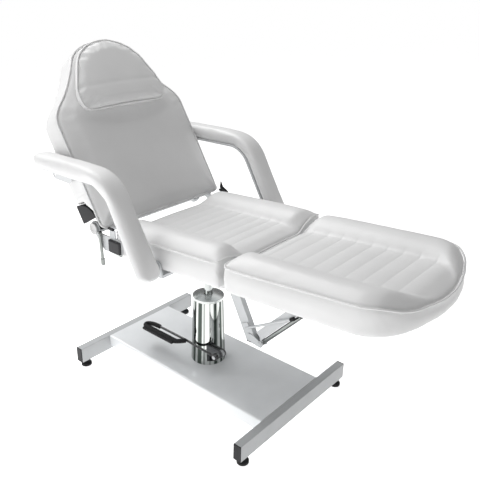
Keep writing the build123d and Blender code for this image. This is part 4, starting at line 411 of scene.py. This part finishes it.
# places
def plane_matrix(origin, along, normal):
    """The matrix of a plane with local x along it and local z as its normal."""
    x = Vector(along).normalized()
    z = Vector(normal).normalized()
    y = z.cross(x)
    matrix = Matrix((x, y, z)).transposed().to_4x4()
    matrix.translation = origin
    return matrix


def seat_plane():
    rake = math.radians(SEAT_RAKE)
    along = (math.cos(rake), 0.0, math.sin(rake))
    normal = (-math.sin(rake), 0.0, math.cos(rake))
    return plane_matrix((0.0, 0.0, SEAT_HEIGHT), along, normal)


def leg_plane():
    return seat_plane() @ Matrix.Translation((0.0, 0.0, -LEG_DROP))


def back_plane():
    lean = math.radians(BACK_LEAN)
    along = (-math.sin(lean), 0.0, math.cos(lean))
    normal = (-math.cos(lean), 0.0, -math.sin(lean))
    return plane_matrix(BACK_FOOT, along, normal)


def share_value(rows, place, column):
    """A value between the rows of a table, by straight lines."""
    if place <= rows[0][0]:
        return rows[0][column]
    for first, second in zip(rows, rows[1:]):
        if place <= second[0]:
            part = (place - first[0]) / (second[0] - first[0])
            return first[column] + part * (second[column] - first[column])
    return rows[-1][column]


# meshes
def sizes():
    return bpy.context.scene.chair_sizes


def colours():
    return bpy.context.scene.chair_colours


def new_piece(name, mesh, body, slot, finish=None):
    """A finished mesh as a piece that rides on a body and takes its slot's finish."""
    piece = bpy.data.objects.new(name, mesh)
    bpy.context.scene.collection.objects.link(piece)
    mesh.materials.clear()
    mesh.materials.append(bpy.data.materials[finish or slot])
    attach(piece, body)
    return piece


def body_of_node(node):
    """The body that carries a CAD node."""
    bodies = frame["record"]["behaviour"]["bodies"]
    return next(body for body, nodes in bodies.items() if node in nodes)


def slot_of_node(node):
    """The record's material slot of a CAD node."""
    return next(row["material_slot"] for row in frame["record"]["subparts"] if row["node"] == node)


def merged_copy(*nodes):
    """CAD nodes' meshes in one form with their loose triangles joined and their normals set."""
    form = bmesh.new()
    for node in nodes:
        form.from_mesh(frame["nodes"][node].data)
    bmesh.ops.remove_doubles(form, verts=form.verts, dist=MERGE)
    bmesh.ops.recalc_face_normals(form, faces=form.faces)
    return form


def to_mesh(form, name):
    mesh = bpy.data.meshes.new(name)
    form.to_mesh(mesh)
    form.free()
    return mesh


def evaluated(piece, name):
    """A piece's mesh with its modifiers applied, as a new mesh."""
    graph = bpy.context.evaluated_depsgraph_get()
    graph.update()
    mesh = bpy.data.meshes.new_from_object(piece.evaluated_get(graph))
    mesh.name = name
    return mesh


def swap_mesh(piece, mesh):
    """Gives a piece an applied mesh and takes its modifiers off."""
    piece.modifiers.clear()
    old = piece.data
    piece.data = mesh
    bpy.data.meshes.remove(old)


def remeshed(piece, grid, rounds):
    """An even grid over a cushion's solid, with its corners eased."""
    remesh = piece.modifiers.new("grid", "REMESH")
    remesh.mode = "VOXEL"
    remesh.voxel_size = grid
    swap_mesh(piece, evaluated(piece, piece.name))
    smoothed(piece, rounds)


def smoothed(piece, rounds):
    """Evens out a piece's surface."""
    form = bmesh.new()
    form.from_mesh(piece.data)
    for _ in range(rounds):
        bmesh.ops.smooth_vert(
            form, verts=form.verts, factor=SMOOTHING, use_axis_x=True, use_axis_y=True, use_axis_z=True
        )
    form.to_mesh(piece.data)
    form.free()


def inflate(piece, held):
    """Fills a cover by cloth pressure, holding the vertices that held names."""
    pinned = piece.vertex_groups.new(name="held")
    pinned.add([v.index for v in piece.data.vertices if held(v.co)], 1.0, "REPLACE")
    cloth = piece.modifiers.new("cover", "CLOTH")
    cloth.settings.quality = CLOTH_QUALITY
    cloth.settings.tension_stiffness = CLOTH_TENSION
    cloth.settings.compression_stiffness = CLOTH_TENSION
    cloth.settings.bending_stiffness = CLOTH_BENDING
    cloth.settings.vertex_group_mass = pinned.name
    cloth.settings.use_pressure = True
    cloth.settings.uniform_pressure_force = sizes().pressure
    cloth.settings.effector_weights.gravity = 0.0
    cloth.point_cache.frame_start = 1
    cloth.point_cache.frame_end = CLOTH_FRAMES
    scene = bpy.context.scene
    for step in range(1, CLOTH_FRAMES + 1):
        scene.frame_set(step)
    filled = evaluated(piece, "filled")
    scene.frame_set(1)
    piece.modifiers.clear()
    piece.vertex_groups.clear()
    for vertex, moved in zip(piece.data.vertices, filled.vertices):
        way = moved.co - vertex.co
        if way.length > sizes().swell:
            way.length = sizes().swell
        vertex.co += way
    bpy.data.meshes.remove(filled)


def subdivided(piece):
    """One applied round of subdivision."""
    surface = piece.modifiers.new("fine", "SUBSURF")
    surface.levels = 1
    surface.render_levels = 1
    swap_mesh(piece, evaluated(piece, piece.name))


def drawn_in(piece, plane, depth_at):
    """Moves each vertex inwards by a depth worked out from its place in a plane."""
    inverse = plane.inverted()
    normals = [v.normal.copy() for v in piece.data.vertices]
    for vertex, normal in zip(piece.data.vertices, normals):
        depth = depth_at(inverse @ vertex.co, inverse.to_3x3() @ normal)
        if depth:
            vertex.co -= normal * depth
    piece.data.update()


def dip(distance, width):
    """A rounded dip that fades with distance."""
    share = distance / width
    return math.exp(-share * share) if abs(share) < DIP_REACH else 0.0


def cover(name, nodes, plane, held, rounds, depth_at=None, grid=1.0):
    """A soft piece made from its CAD solids: gridded, filled, subdivided and sewn."""
    slot = slot_of_node(nodes[0])
    piece = new_piece(name, to_mesh(merged_copy(*nodes), name), body_of_node(nodes[0]), slot)
    remeshed(piece, sizes().voxel * grid, rounds)
    inflate(piece, lambda place: held(plane.inverted() @ place))
    smoothed(piece, SETTLE_ROUNDS)
    subdivided(piece)
    if depth_at:
        drawn_in(piece, plane, depth_at)
    piece.data.shade_smooth()
    piece.data.materials.clear()
    piece.data.materials.append(bpy.data.materials[slot])
    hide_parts(*nodes)
    return piece


def swept_cord(name, points, radius, normal, body, slot, closed=True):
    """A round cord swept through points that lie nearly in one plane."""
    form = bmesh.new()
    rings = []
    count = len(points)
    for index, place in enumerate(points):
        ahead = points[(index + 1) % count] if closed else points[min(index + 1, count - 1)]
        behind = points[index - 1] if closed else points[max(index - 1, 0)]
        way = (ahead - behind).normalized()
        side = normal.cross(way).normalized()
        matrix = Matrix((side, way.cross(side), way)).transposed().to_4x4()
        matrix.translation = place
        ring = bmesh.ops.create_circle(
            form, cap_ends=False, segments=RING_SIDES, radius=radius, matrix=matrix
        )["verts"]
        rings.append([e for e in form.edges if e.verts[0] in ring and e.verts[1] in ring])
        if not closed and index in (0, count - 1):
            bmesh.ops.contextual_create(form, geom=rings[-1])
    pairs = list(zip(rings, rings[1:]))
    if closed:
        pairs.append((rings[-1], rings[0]))
    for first, second in pairs:
        bmesh.ops.bridge_loops(form, edges=first + second)
    bmesh.ops.recalc_face_normals(form, faces=form.faces)
    mesh = to_mesh(form, name)
    mesh.shade_smooth()
    return new_piece(name, mesh, body, slot)


def even_steps(points, step, closed=True, rounds=3):
    """The same line with points at even steps, its corners rounded by averaging."""
    runs = list(zip(points, points[1:] + points[:1])) if closed else list(zip(points, points[1:]))
    dense = []
    for first, second in runs:
        length = (second - first).length
        parts = max(1, round(length / step))
        for index in range(parts):
            dense.append(first.lerp(second, index / parts))
    if not closed:
        dense.append(points[-1])
    for _ in range(rounds):
        last = len(dense)
        rounded = []
        for index in range(last):
            if not closed and index in (0, last - 1):
                rounded.append(dense[index])
                continue
            rounded.append((dense[index - 1] + 2 * dense[index] + dense[(index + 1) % last]) / 4)
        dense = rounded
    return dense


# finishes
class Finish:
    """A procedural material that is built up from a few textures."""

    def __init__(self, name, colour, roughness, metallic=0.0):
        material = bpy.data.materials.get(name) or bpy.data.materials.new(name)
        material.use_nodes = True
        self.tree = material.node_tree
        self.tree.nodes.clear()
        self.out = self.add("ShaderNodeOutputMaterial")
        self.shader = self.add("ShaderNodeBsdfPrincipled")
        self.link(self.shader.outputs["BSDF"], self.out.inputs["Surface"])
        self.shader.inputs["Base Color"].default_value = (*colour, 1.0)
        self.shader.inputs["Roughness"].default_value = roughness
        self.shader.inputs["Metallic"].default_value = metallic
        self.colour = colour
        self.place = self.add("ShaderNodeTexCoord").outputs["Object"]

    def add(self, kind):
        return self.tree.nodes.new(kind)

    def link(self, start, end):
        self.tree.links.new(start, end)

    def noise(self, scale, detail, stretch=EVEN):
        mapping = self.add("ShaderNodeMapping")
        mapping.inputs["Scale"].default_value = stretch
        texture = self.add("ShaderNodeTexNoise")
        texture.inputs["Scale"].default_value = scale
        texture.inputs["Detail"].default_value = detail
        self.link(self.place, mapping.inputs["Vector"])
        self.link(mapping.outputs["Vector"], texture.inputs["Vector"])
        return texture.outputs["Fac"]

    def cells(self, scale):
        texture = self.add("ShaderNodeTexVoronoi")
        texture.feature = "DISTANCE_TO_EDGE"
        texture.inputs["Scale"].default_value = scale
        self.link(self.place, texture.inputs["Vector"])
        return texture.outputs["Distance"]

    def vary_colour(self, factor, other, low, high):
        """Blends between the colour and another one by a texture."""
        ramp = self.add("ShaderNodeValToRGB")
        ramp.color_ramp.elements[0].position = low
        ramp.color_ramp.elements[1].position = high
        ramp.color_ramp.elements[0].color = (*self.colour, 1.0)
        ramp.color_ramp.elements[1].color = (*other, 1.0)
        self.link(factor, ramp.inputs["Fac"])
        self.link(ramp.outputs["Color"], self.shader.inputs["Base Color"])

    def vary_roughness(self, factor, low, high):
        spread = self.add("ShaderNodeMapRange")
        spread.inputs["To Min"].default_value = low
        spread.inputs["To Max"].default_value = high
        self.link(factor, spread.inputs["Value"])
        self.link(spread.outputs["Result"], self.shader.inputs["Roughness"])

    def around(self, scale, detail):
        """A texture that runs up and down and changes only round the column's axis, for the column's
        painted reflection streaks.
        """
        flat = self.add("ShaderNodeVectorMath")
        flat.operation = "MULTIPLY"
        flat.inputs[1].default_value = (1.0, 1.0, 0.0)
        unit = self.add("ShaderNodeVectorMath")
        unit.operation = "NORMALIZE"
        texture = self.add("ShaderNodeTexNoise")
        texture.inputs["Scale"].default_value = scale
        texture.inputs["Detail"].default_value = detail
        self.link(self.place, flat.inputs[0])
        self.link(flat.outputs["Vector"], unit.inputs[0])
        self.link(unit.outputs["Vector"], texture.inputs["Vector"])
        return texture.outputs["Fac"]

    def bump(self, height, strength, distance):
        node = self.add("ShaderNodeBump")
        node.inputs["Strength"].default_value = strength
        node.inputs["Distance"].default_value = distance
        self.link(height, node.inputs["Height"])
        if self.shader.inputs["Normal"].is_linked:
            before = self.shader.inputs["Normal"].links[0].from_socket
            self.link(before, node.inputs["Normal"])
        self.link(node.outputs["Normal"], self.shader.inputs["Normal"])

    def set(self, name, value):
        self.shader.inputs[name].default_value = value

    def cloud(self, scale, detail, shade, stretch=EVEN, blend=CLOUD_BLEND):
        """Blends softly towards a darker or lighter shade of the colour."""
        self.vary_colour(self.noise(scale, detail, stretch), shaded(self.colour, shade), *blend)

    def wear(self, scale, detail, low, high, stretch=EVEN):
        """Varies the roughness between two values."""
        self.vary_roughness(self.noise(scale, detail, stretch), low, high)

    def ripple(self, scale, detail, strength, height, stretch=EVEN):
        """Raises a fine noise over the surface."""
        self.bump(self.noise(scale, detail, stretch), strength, height)


def shaded(colour, share):
    return tuple(channel * share for channel in colour)


def vinyl_finish(name, colour, grain):
    finish = Finish(name, colour, VINYL_ROUGHNESS)
    weight, roughness = VINYL_COAT
    finish.set("Specular IOR Level", VINYL_GLOSS)
    finish.set("Coat Weight", weight)
    finish.set("Coat Roughness", roughness)
    finish.cloud(*VINYL_CLOUD)
    finish.wear(*VINYL_WEAR)
    finish.bump(finish.cells(grain), GRAIN_STRENGTH, GRAIN_HEIGHT)
    finish.ripple(*VINYL_RIPPLE)


def paint_finish(name, colour, roughness, coat):
    finish = Finish(name, colour, roughness)
    finish.set("Coat Weight", coat)
    finish.set("Coat Roughness", PAINT_COAT_ROUGHNESS)
    finish.cloud(*PAINT_CLOUD)
    low, high = PAINT_WEAR_SHARES
    finish.wear(*PAINT_WEAR_SCALE, roughness * low, roughness * high)
    finish.ripple(*PAINT_PEEL)


def metal_finish(name, colour, low, high, stretch):
    finish = Finish(name, colour, low, 1.0)
    finish.cloud(*METAL_CLOUD)
    finish.wear(*METAL_WEAR_SCALE, low, high, stretch)
    finish.ripple(*METAL_POLISH, stretch)


def column_reflection_finish(name, dark, light):
    # chrome coloured with painted reflection streaks that change round the column's axis
    finish = Finish(name, dark, COLUMN_ROUGHNESS, 1.0)
    finish.vary_colour(finish.around(*COLUMN_REFLECTION_STREAKS), light, *COLUMN_REFLECTION_BLEND)
    finish.wear(*COLUMN_WEAR)
    finish.ripple(*COLUMN_RIPPLE)


def moulded_finish(name, colour, roughness, scale, strength):
    finish = Finish(name, colour, roughness)
    finish.set("Specular IOR Level", MOULDING_GLOSS)
    finish.cloud(*MOULDING_CLOUD)
    low, high = MOULDING_WEAR_SHARES
    finish.wear(*MOULDING_WEAR_SCALE, roughness * low, min(1.0, roughness * high))
    finish.ripple(scale, MOULDING_DETAIL, strength, MOULDING_HEIGHT)


def wood_finish(name, colour):
    finish = Finish(name, colour, WOOD_ROUGHNESS)
    finish.cloud(*WOOD_CLOUD, WOOD_STRETCH, WOOD_BLEND)
    finish.wear(*WOOD_WEAR)
    finish.ripple(*WOOD_GRAIN, WOOD_STRETCH)


class CHAIR_OT_finishes(bpy.types.Operator):
    """Make every finish and give the carried-over metalwork its own"""

    bl_idname = "chair.finishes"
    bl_label = "Finishes"

    def execute(self, context):
        shade = colours()
        for name, grain in VINYLS.items():
            vinyl_finish(name, tuple(shade.vinyl), grain)
        paint_finish("plate_paint", tuple(shade.plate_paint), *PLATE_GLOSS)
        paint_finish("frame_paint", tuple(shade.frame_paint), *FRAME_GLOSS)
        # the floor tubes' paint is the plate's colour darkened: painted shade
        paint_finish("tube_paint_painted_shade", shaded(tuple(shade.plate_paint), TUBE_PAINTED_SHADE), *TUBE_GLOSS)
        for name, values in PAINTS.items():
            paint_finish(name, *values)
        for name, values in METALS.items():
            metal_finish(name, *values)
        column_reflection_finish("column_painted_reflection_chrome", COLUMN_DARK_REFLECTION, COLUMN_LIGHT_REFLECTION)
        for name, values in MOULDINGS.items():
            moulded_finish(name, *values)
        wood_finish("plywood", PLYWOOD)
        for node, piece in frame["nodes"].items():
            for slot in piece.material_slots:
                slot.material = bpy.data.materials[slot_of_node(node)]
        return {"FINISHED"}


# upholstery
def seam_depth(place, first, pitch, count, half):
    """Depth of the cross seams of a centre panel at a place."""
    if abs(place.y) > half:
        return 0.0
    index = round((place.x - first) / pitch)
    if index < 0 or index >= count:
        return 0.0
    fade = min(1.0, (half - abs(place.y)) / SEAM_FADE)
    return sizes().seam * fade * dip(place.x - first - index * pitch, sizes().seam_width)


def leg_rows():
    length = LEG_FRONT - LEG_REAR
    rows = []
    for place, width, height in LEG_SHARES:
        edge = LEG_TIP_EDGE + height * (LEG_EDGE - LEG_TIP_EDGE)
        rows.append((LEG_REAR + place * length, width * SEAT_HALF, edge))
    return rows


class CHAIR_OT_seat_cover(bpy.types.Operator):
    """Make the seat cushion with its bolsters and cross seams"""

    bl_idname = "chair.seat_cover"
    bl_label = "Seat cushion"

    def execute(self, context):
        def depth_at(place, normal):
            if normal.z < FRONT_FACING:
                return 0.0
            return seam_depth(place, *SEAT_SEAMS, PANEL_HALF)

        def held(place):
            return place.z < SIDE_HOLD

        cover("seat_cover", ["seat_cushion"], seat_plane(), held, COVER_ROUNDS, depth_at)
        return {"FINISHED"}


class CHAIR_OT_leg_cover(bpy.types.Operator):
    """Make the leg rest cushion with its rounded front"""

    bl_idname = "chair.leg_cover"
    bl_label = "Leg rest cushion"

    def execute(self, context):
        rows = leg_rows()

        def depth_at(place, normal):
            if normal.z < FRONT_FACING:
                return 0.0
            half = min(PANEL_HALF, share_value(rows, place.x, 1) - SEAM_MARGIN)
            return seam_depth(place, *LEG_SEAMS, half)

        def held(place):
            return place.z < SIDE_HOLD

        cover("leg_cover", ["leg_cushion"], leg_plane(), held, COVER_ROUNDS, depth_at)
        return {"FINISHED"}


class CHAIR_OT_back_cover(bpy.types.Operator):
    """Make the back cushion with its crown and boxing"""

    bl_idname = "chair.back_cover"
    bl_label = "Back cushion"

    def execute(self, context):
        def depth_at(place, normal):
            if abs(normal.y) < SIDE_FACING:
                return 0.0
            depth = sizes().seam * BOXING_DEPTH_SHARE
            return depth * dip(place.x - BOXING_SEAM, sizes().seam_width)

        def held(place):
            return place.z > BACK_HOLD

        nodes = ["back_cushion", "back_panel"]
        cover("back_cover", nodes, back_plane(), held, COVER_ROUNDS, depth_at)
        return {"FINISHED"}


class CHAIR_OT_pillow(bpy.types.Operator):
    """Make the head pillow with the crease across it"""

    bl_idname = "chair.pillow"
    bl_label = "Head pillow"

    def execute(self, context):
        def depth_at(place, normal):
            if normal.z > PILLOW_FACING:
                return 0.0
            return CREASE_DEPTH * dip(place.x - PILLOW_CREASE, CREASE_WIDTH)

        def held(place):
            return place.z > PILLOW_HOLD

        cover(
            "pillow_cover", ["head_pillow"], back_plane(), held, PILLOW_ROUNDS, depth_at,
            PILLOW_GRID_SHARE,
        )
        return {"FINISHED"}


class CHAIR_OT_arm_covers(bpy.types.Operator):
    """Make the two bent armrest pads"""

    bl_idname = "chair.arm_covers"
    bl_label = "Armrest pads"

    def execute(self, context):
        def held(place):
            return False

        for side in ("left", "right"):
            cover(
                "arm_cover_" + side, ["pad_" + side], Matrix(), held, PAD_ROUNDS, None,
                PAD_GRID_SHARE,
            )
        return {"FINISHED"}


def outline_points(rows):
    """Points round a symmetrical outline from rows of place and half width."""
    right = [Vector((place, half, 0.0)) for place, half in rows]
    left = [Vector((place, -half, 0.0)) for place, half in reversed(rows)]
    return right + left


def surface_height(tree, plane, place, middle, inset, front):
    """Height over a plane of a cover just inside its edge."""
    way = Vector((middle - place.x, -place.y, 0.0)).normalized()
    inside = place + way * inset
    start = plane @ Vector((inside.x, inside.y, front * RAY_START))
    down = plane.to_3x3() @ Vector((0.0, 0.0, -front))
    hit = tree.ray_cast(start, down)[0]
    return (plane.inverted() @ hit).z if hit else None


class CHAIR_OT_piping(bpy.types.Operator):
    """Sew the piping round the covers"""

    bl_idname = "chair.piping"
    bl_label = "Piping"

    def execute(self, context):
        tuck = sizes().piping * PIPING_TUCK_SHARE
        corner = SEAT_HALF - PIPING_CORNER
        rows = [
            (SEAT_REAR + tuck, corner),
            (SEAT_REAR + PIPING_CORNER, SEAT_HALF - tuck),
            (SEAT_FRONT - PIPING_CORNER, SEAT_HALF - tuck),
            (SEAT_FRONT - tuck, corner),
        ]
        self.sew("seat", rows, seat_plane(), 1)
        rows = [(LEG_REAR + tuck, corner), (LEG_REAR + PIPING_CORNER, SEAT_HALF - tuck)]
        rows += [(place - tuck, half - tuck) for place, half, edge in leg_rows()[1:]]
        self.sew("leg", rows, leg_plane(), 1)
        rows = [(place * BACK_LENGTH, width * BACK_HALF - tuck) for place, width in BACK_SHARES]
        self.sew("back", rows, back_plane(), -1)
        rows = [
            (PILLOW_START + place * PILLOW_LENGTH, width * PILLOW_HALF - tuck)
            for place, width in PILLOW_SHARES
        ]
        self.sew("pillow", rows, back_plane(), -1)
        return {"FINISHED"}

    def sew(self, name, rows, plane, front):
        piece = bpy.data.objects[name + "_cover"]
        tree = BVHTree.FromObject(piece, bpy.context.evaluated_depsgraph_get())
        middle = (rows[0][0] + rows[-1][0]) / 2
        radius = sizes().piping
        line = even_steps(outline_points(rows), PIPING_STEP)
        heights = [surface_height(tree, plane, place, middle, PIPING_INSET, front) for place in line]
        known = [height for height in heights if height is not None]
        raised = []
        for place, height in zip(line, heights):
            level = height if height is not None else sum(known) / len(known)
            raised.append(plane @ Vector((place.x, place.y, level - front * radius * PIPING_SINK)))
        normal = plane.to_3x3() @ Vector((0.0, 0.0, 1.0))
        line = even_steps(raised, PIPING_STEP)
        cord = swept_cord(name + "_piping", line, radius, normal, piece["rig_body"], "white_vinyl")


def eased_block(form, middle, size, width):
    """A block with eased edges, added to a form."""
    place = Matrix.Translation(middle) @ Matrix.Diagonal((*size, 1.0))
    corners = bmesh.ops.create_cube(form, size=1.0, matrix=place)["verts"]
    edges = list({edge for corner in corners for edge in corner.link_edges})
    bmesh.ops.bevel(
        form, geom=edges, offset=width, segments=EASE_SEGMENTS, profile=0.5, affect="EDGES", material=-1
    )


class CHAIR_OT_pedal_grip(bpy.types.Operator):
    """Make the rubber loop of the pedal with its ribbed tread"""

    bl_idname = "chair.pedal_grip"
    bl_label = "Pedal grip"

    def execute(self, context):
        route = [Vector((x, y, GRIP_HEIGHT)) for x, y in GRIP_ROUTE]
        line = even_steps(route, GRIP_STEP, False, GRIP_ROUNDS)
        up = Vector((0.0, 0.0, 1.0))
        loop = swept_cord("pedal_grip_loop", line, GRIP_RADIUS, up, "pedal", "black_rubber", False)
        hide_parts("pedal_grip")
        start, end = TREAD_SPAN
        form = bmesh.new()
        middle = ((start + end) / 2, GRIP_ROUTE[3][1], GRIP_HEIGHT)
        eased_block(form, middle, (end - start, TREAD_WIDTH, TREAD_THICK), TREAD_EASE)
        count = int((end - start) / RIB_PITCH) - 1
        for index in range(count):
            place = (start + RIB_PITCH * (index + 1), middle[1], GRIP_HEIGHT + TREAD_THICK / 2)
            eased_block(form, place, (RIB_WIDTH, TREAD_WIDTH * RIB_SPAN_SHARE, RIB_HEIGHT), RIB_EASE)
        new_piece("pedal_tread", to_mesh(form, "pedal_tread"), "pedal", "black_rubber")
        return {"FINISHED"}


class CHAIR_OT_metalwork(bpy.types.Operator):
    """Ease the edges of the frame, fittings and boards"""

    bl_idname = "chair.metalwork"
    bl_label = "Frame and fittings"

    def execute(self, context):
        for node, width in EASED.items():
            form = merged_copy(node)
            bmesh.ops.dissolve_limit(form, angle_limit=SHEET_ANGLE, verts=form.verts, edges=form.edges)
            mesh = to_mesh(form, "eased_" + node)
            mesh.shade_smooth()
            mesh.set_sharp_from_angle(angle=EDGE_ANGLE)
            slot = slot_of_node(node)
            piece = new_piece("eased_" + node, mesh, body_of_node(node), slot, OWN_FINISH.get(node))
            if width:
                bevel = piece.modifiers.new("eased", "BEVEL")
                bevel.width = width
                bevel.segments = EASE_SEGMENTS
                bevel.limit_method = "ANGLE"
                bevel.angle_limit = EDGE_ANGLE
                bevel.harden_normals = True
                bevel.use_clamp_overlap = True
            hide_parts(node)
        return {"FINISHED"}


# studio
def aim(place, target):
    """The turn of a light that looks from a place to a target."""
    way = Vector(target) - Vector(place)
    return way.to_track_quat("-Z", "Y").to_euler()


def soft_light(name, place, target, size, power):
    lamp = bpy.data.lights.new(name, "AREA")
    lamp.shape = "RECTANGLE"
    lamp.size, lamp.size_y = size
    lamp.energy = power
    lamp_object = bpy.data.objects.new(name, lamp)
    lamp_object.location = place
    lamp_object.rotation_euler = aim(place, target)
    bpy.context.scene.collection.objects.link(lamp_object)


def photo_camera():
    azimuth = math.radians(CAMERA_AZIMUTH)
    elevation = math.radians(CAMERA_ELEVATION)
    roll = math.radians(CAMERA_ROLL)
    level = math.cos(elevation)
    back = Vector((math.sin(azimuth) * level, -math.cos(azimuth) * level, math.sin(elevation)))
    right = Vector((math.cos(azimuth), math.sin(azimuth), 0.0))
    up = back.cross(right)
    turned_right = math.cos(roll) * right + math.sin(roll) * up
    turned_up = math.cos(roll) * up - math.sin(roll) * right
    matrix = Matrix((turned_right, turned_up, back)).transposed().to_4x4()
    matrix.translation = CAMERA_PLACE
    camera = bpy.data.cameras.new("camera")
    camera.lens = CAMERA_LENS
    camera.sensor_width = SENSOR
    camera_object = bpy.data.objects.new("camera", camera)
    camera_object.matrix_world = matrix
    bpy.context.scene.collection.objects.link(camera_object)
    bpy.context.scene.camera = camera_object


class CHAIR_OT_studio(bpy.types.Operator):
    """Set the floor, the lights and the camera"""

    bl_idname = "chair.studio"
    bl_label = "Studio"

    def execute(self, context):
        form = bmesh.new()
        bmesh.ops.create_grid(form, x_segments=FLOOR_CELLS, y_segments=FLOOR_CELLS, size=FLOOR_REACH)
        floor = bpy.data.objects.new("floor", to_mesh(form, "floor"))
        context.scene.collection.objects.link(floor)
        floor_finish = Finish("floor_paint", tuple(colours().floor), FLOOR_ROUGHNESS)
        floor_finish.set("Emission Color", WHITE)
        floor_finish.set("Emission Strength", FLOOR_GLOW)
        floor_finish.wear(*FLOOR_WEAR)
        floor.data.materials.append(bpy.data.materials["floor_paint"])
        world = bpy.data.worlds.new("studio")
        world.use_nodes = True
        ground = world.node_tree.nodes["Background"]
        ground.inputs["Color"].default_value = WHITE
        ground.inputs["Strength"].default_value = WORLD_STRENGTH
        context.scene.world = world
        context.scene.view_settings.view_transform = "Standard"
        for name, (place, size, power) in LIGHTS.items():
            soft_light(name, place, LIGHT_TARGET, size, power)
        photo_camera()
        return {"FINISHED"}


STEPS = (
    CHAIR_OT_finishes,
    CHAIR_OT_metalwork,
    CHAIR_OT_pedal_grip,
    CHAIR_OT_seat_cover,
    CHAIR_OT_leg_cover,
    CHAIR_OT_back_cover,
    CHAIR_OT_pillow,
    CHAIR_OT_arm_covers,
    CHAIR_OT_piping,
    CHAIR_OT_studio,
)


class CHAIR_PT_panel(bpy.types.Panel):
    """The chair's sizes, colours and steps"""

    bl_idname = "CHAIR_PT_panel"
    bl_label = "Treatment chair"
    bl_space_type = "VIEW_3D"
    bl_region_type = "UI"
    bl_category = "Chair"

    def draw(self, context):
        layout = self.layout
        for group in (context.scene.chair_sizes, context.scene.chair_colours):
            for name in group.__annotations__:
                layout.prop(group, name)
        for step in STEPS:
            layout.operator(step.bl_idname)


CLASSES = (ChairSizes, ChairColours, *STEPS, CHAIR_PT_panel)


def register():
    for item in CLASSES:
        bpy.utils.register_class(item)
    bpy.types.Scene.chair_sizes = bpy.props.PointerProperty(type=ChairSizes)
    bpy.types.Scene.chair_colours = bpy.props.PointerProperty(type=ChairColours)


def unregister():
    del bpy.types.Scene.chair_colours
    del bpy.types.Scene.chair_sizes
    for item in reversed(CLASSES):
        bpy.utils.unregister_class(item)


def main():
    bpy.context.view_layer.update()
    register()
    for step in STEPS:
        group, name = step.bl_idname.split(".")
        getattr(getattr(bpy.ops, group), name)()


if __name__ == "__main__":
    main()
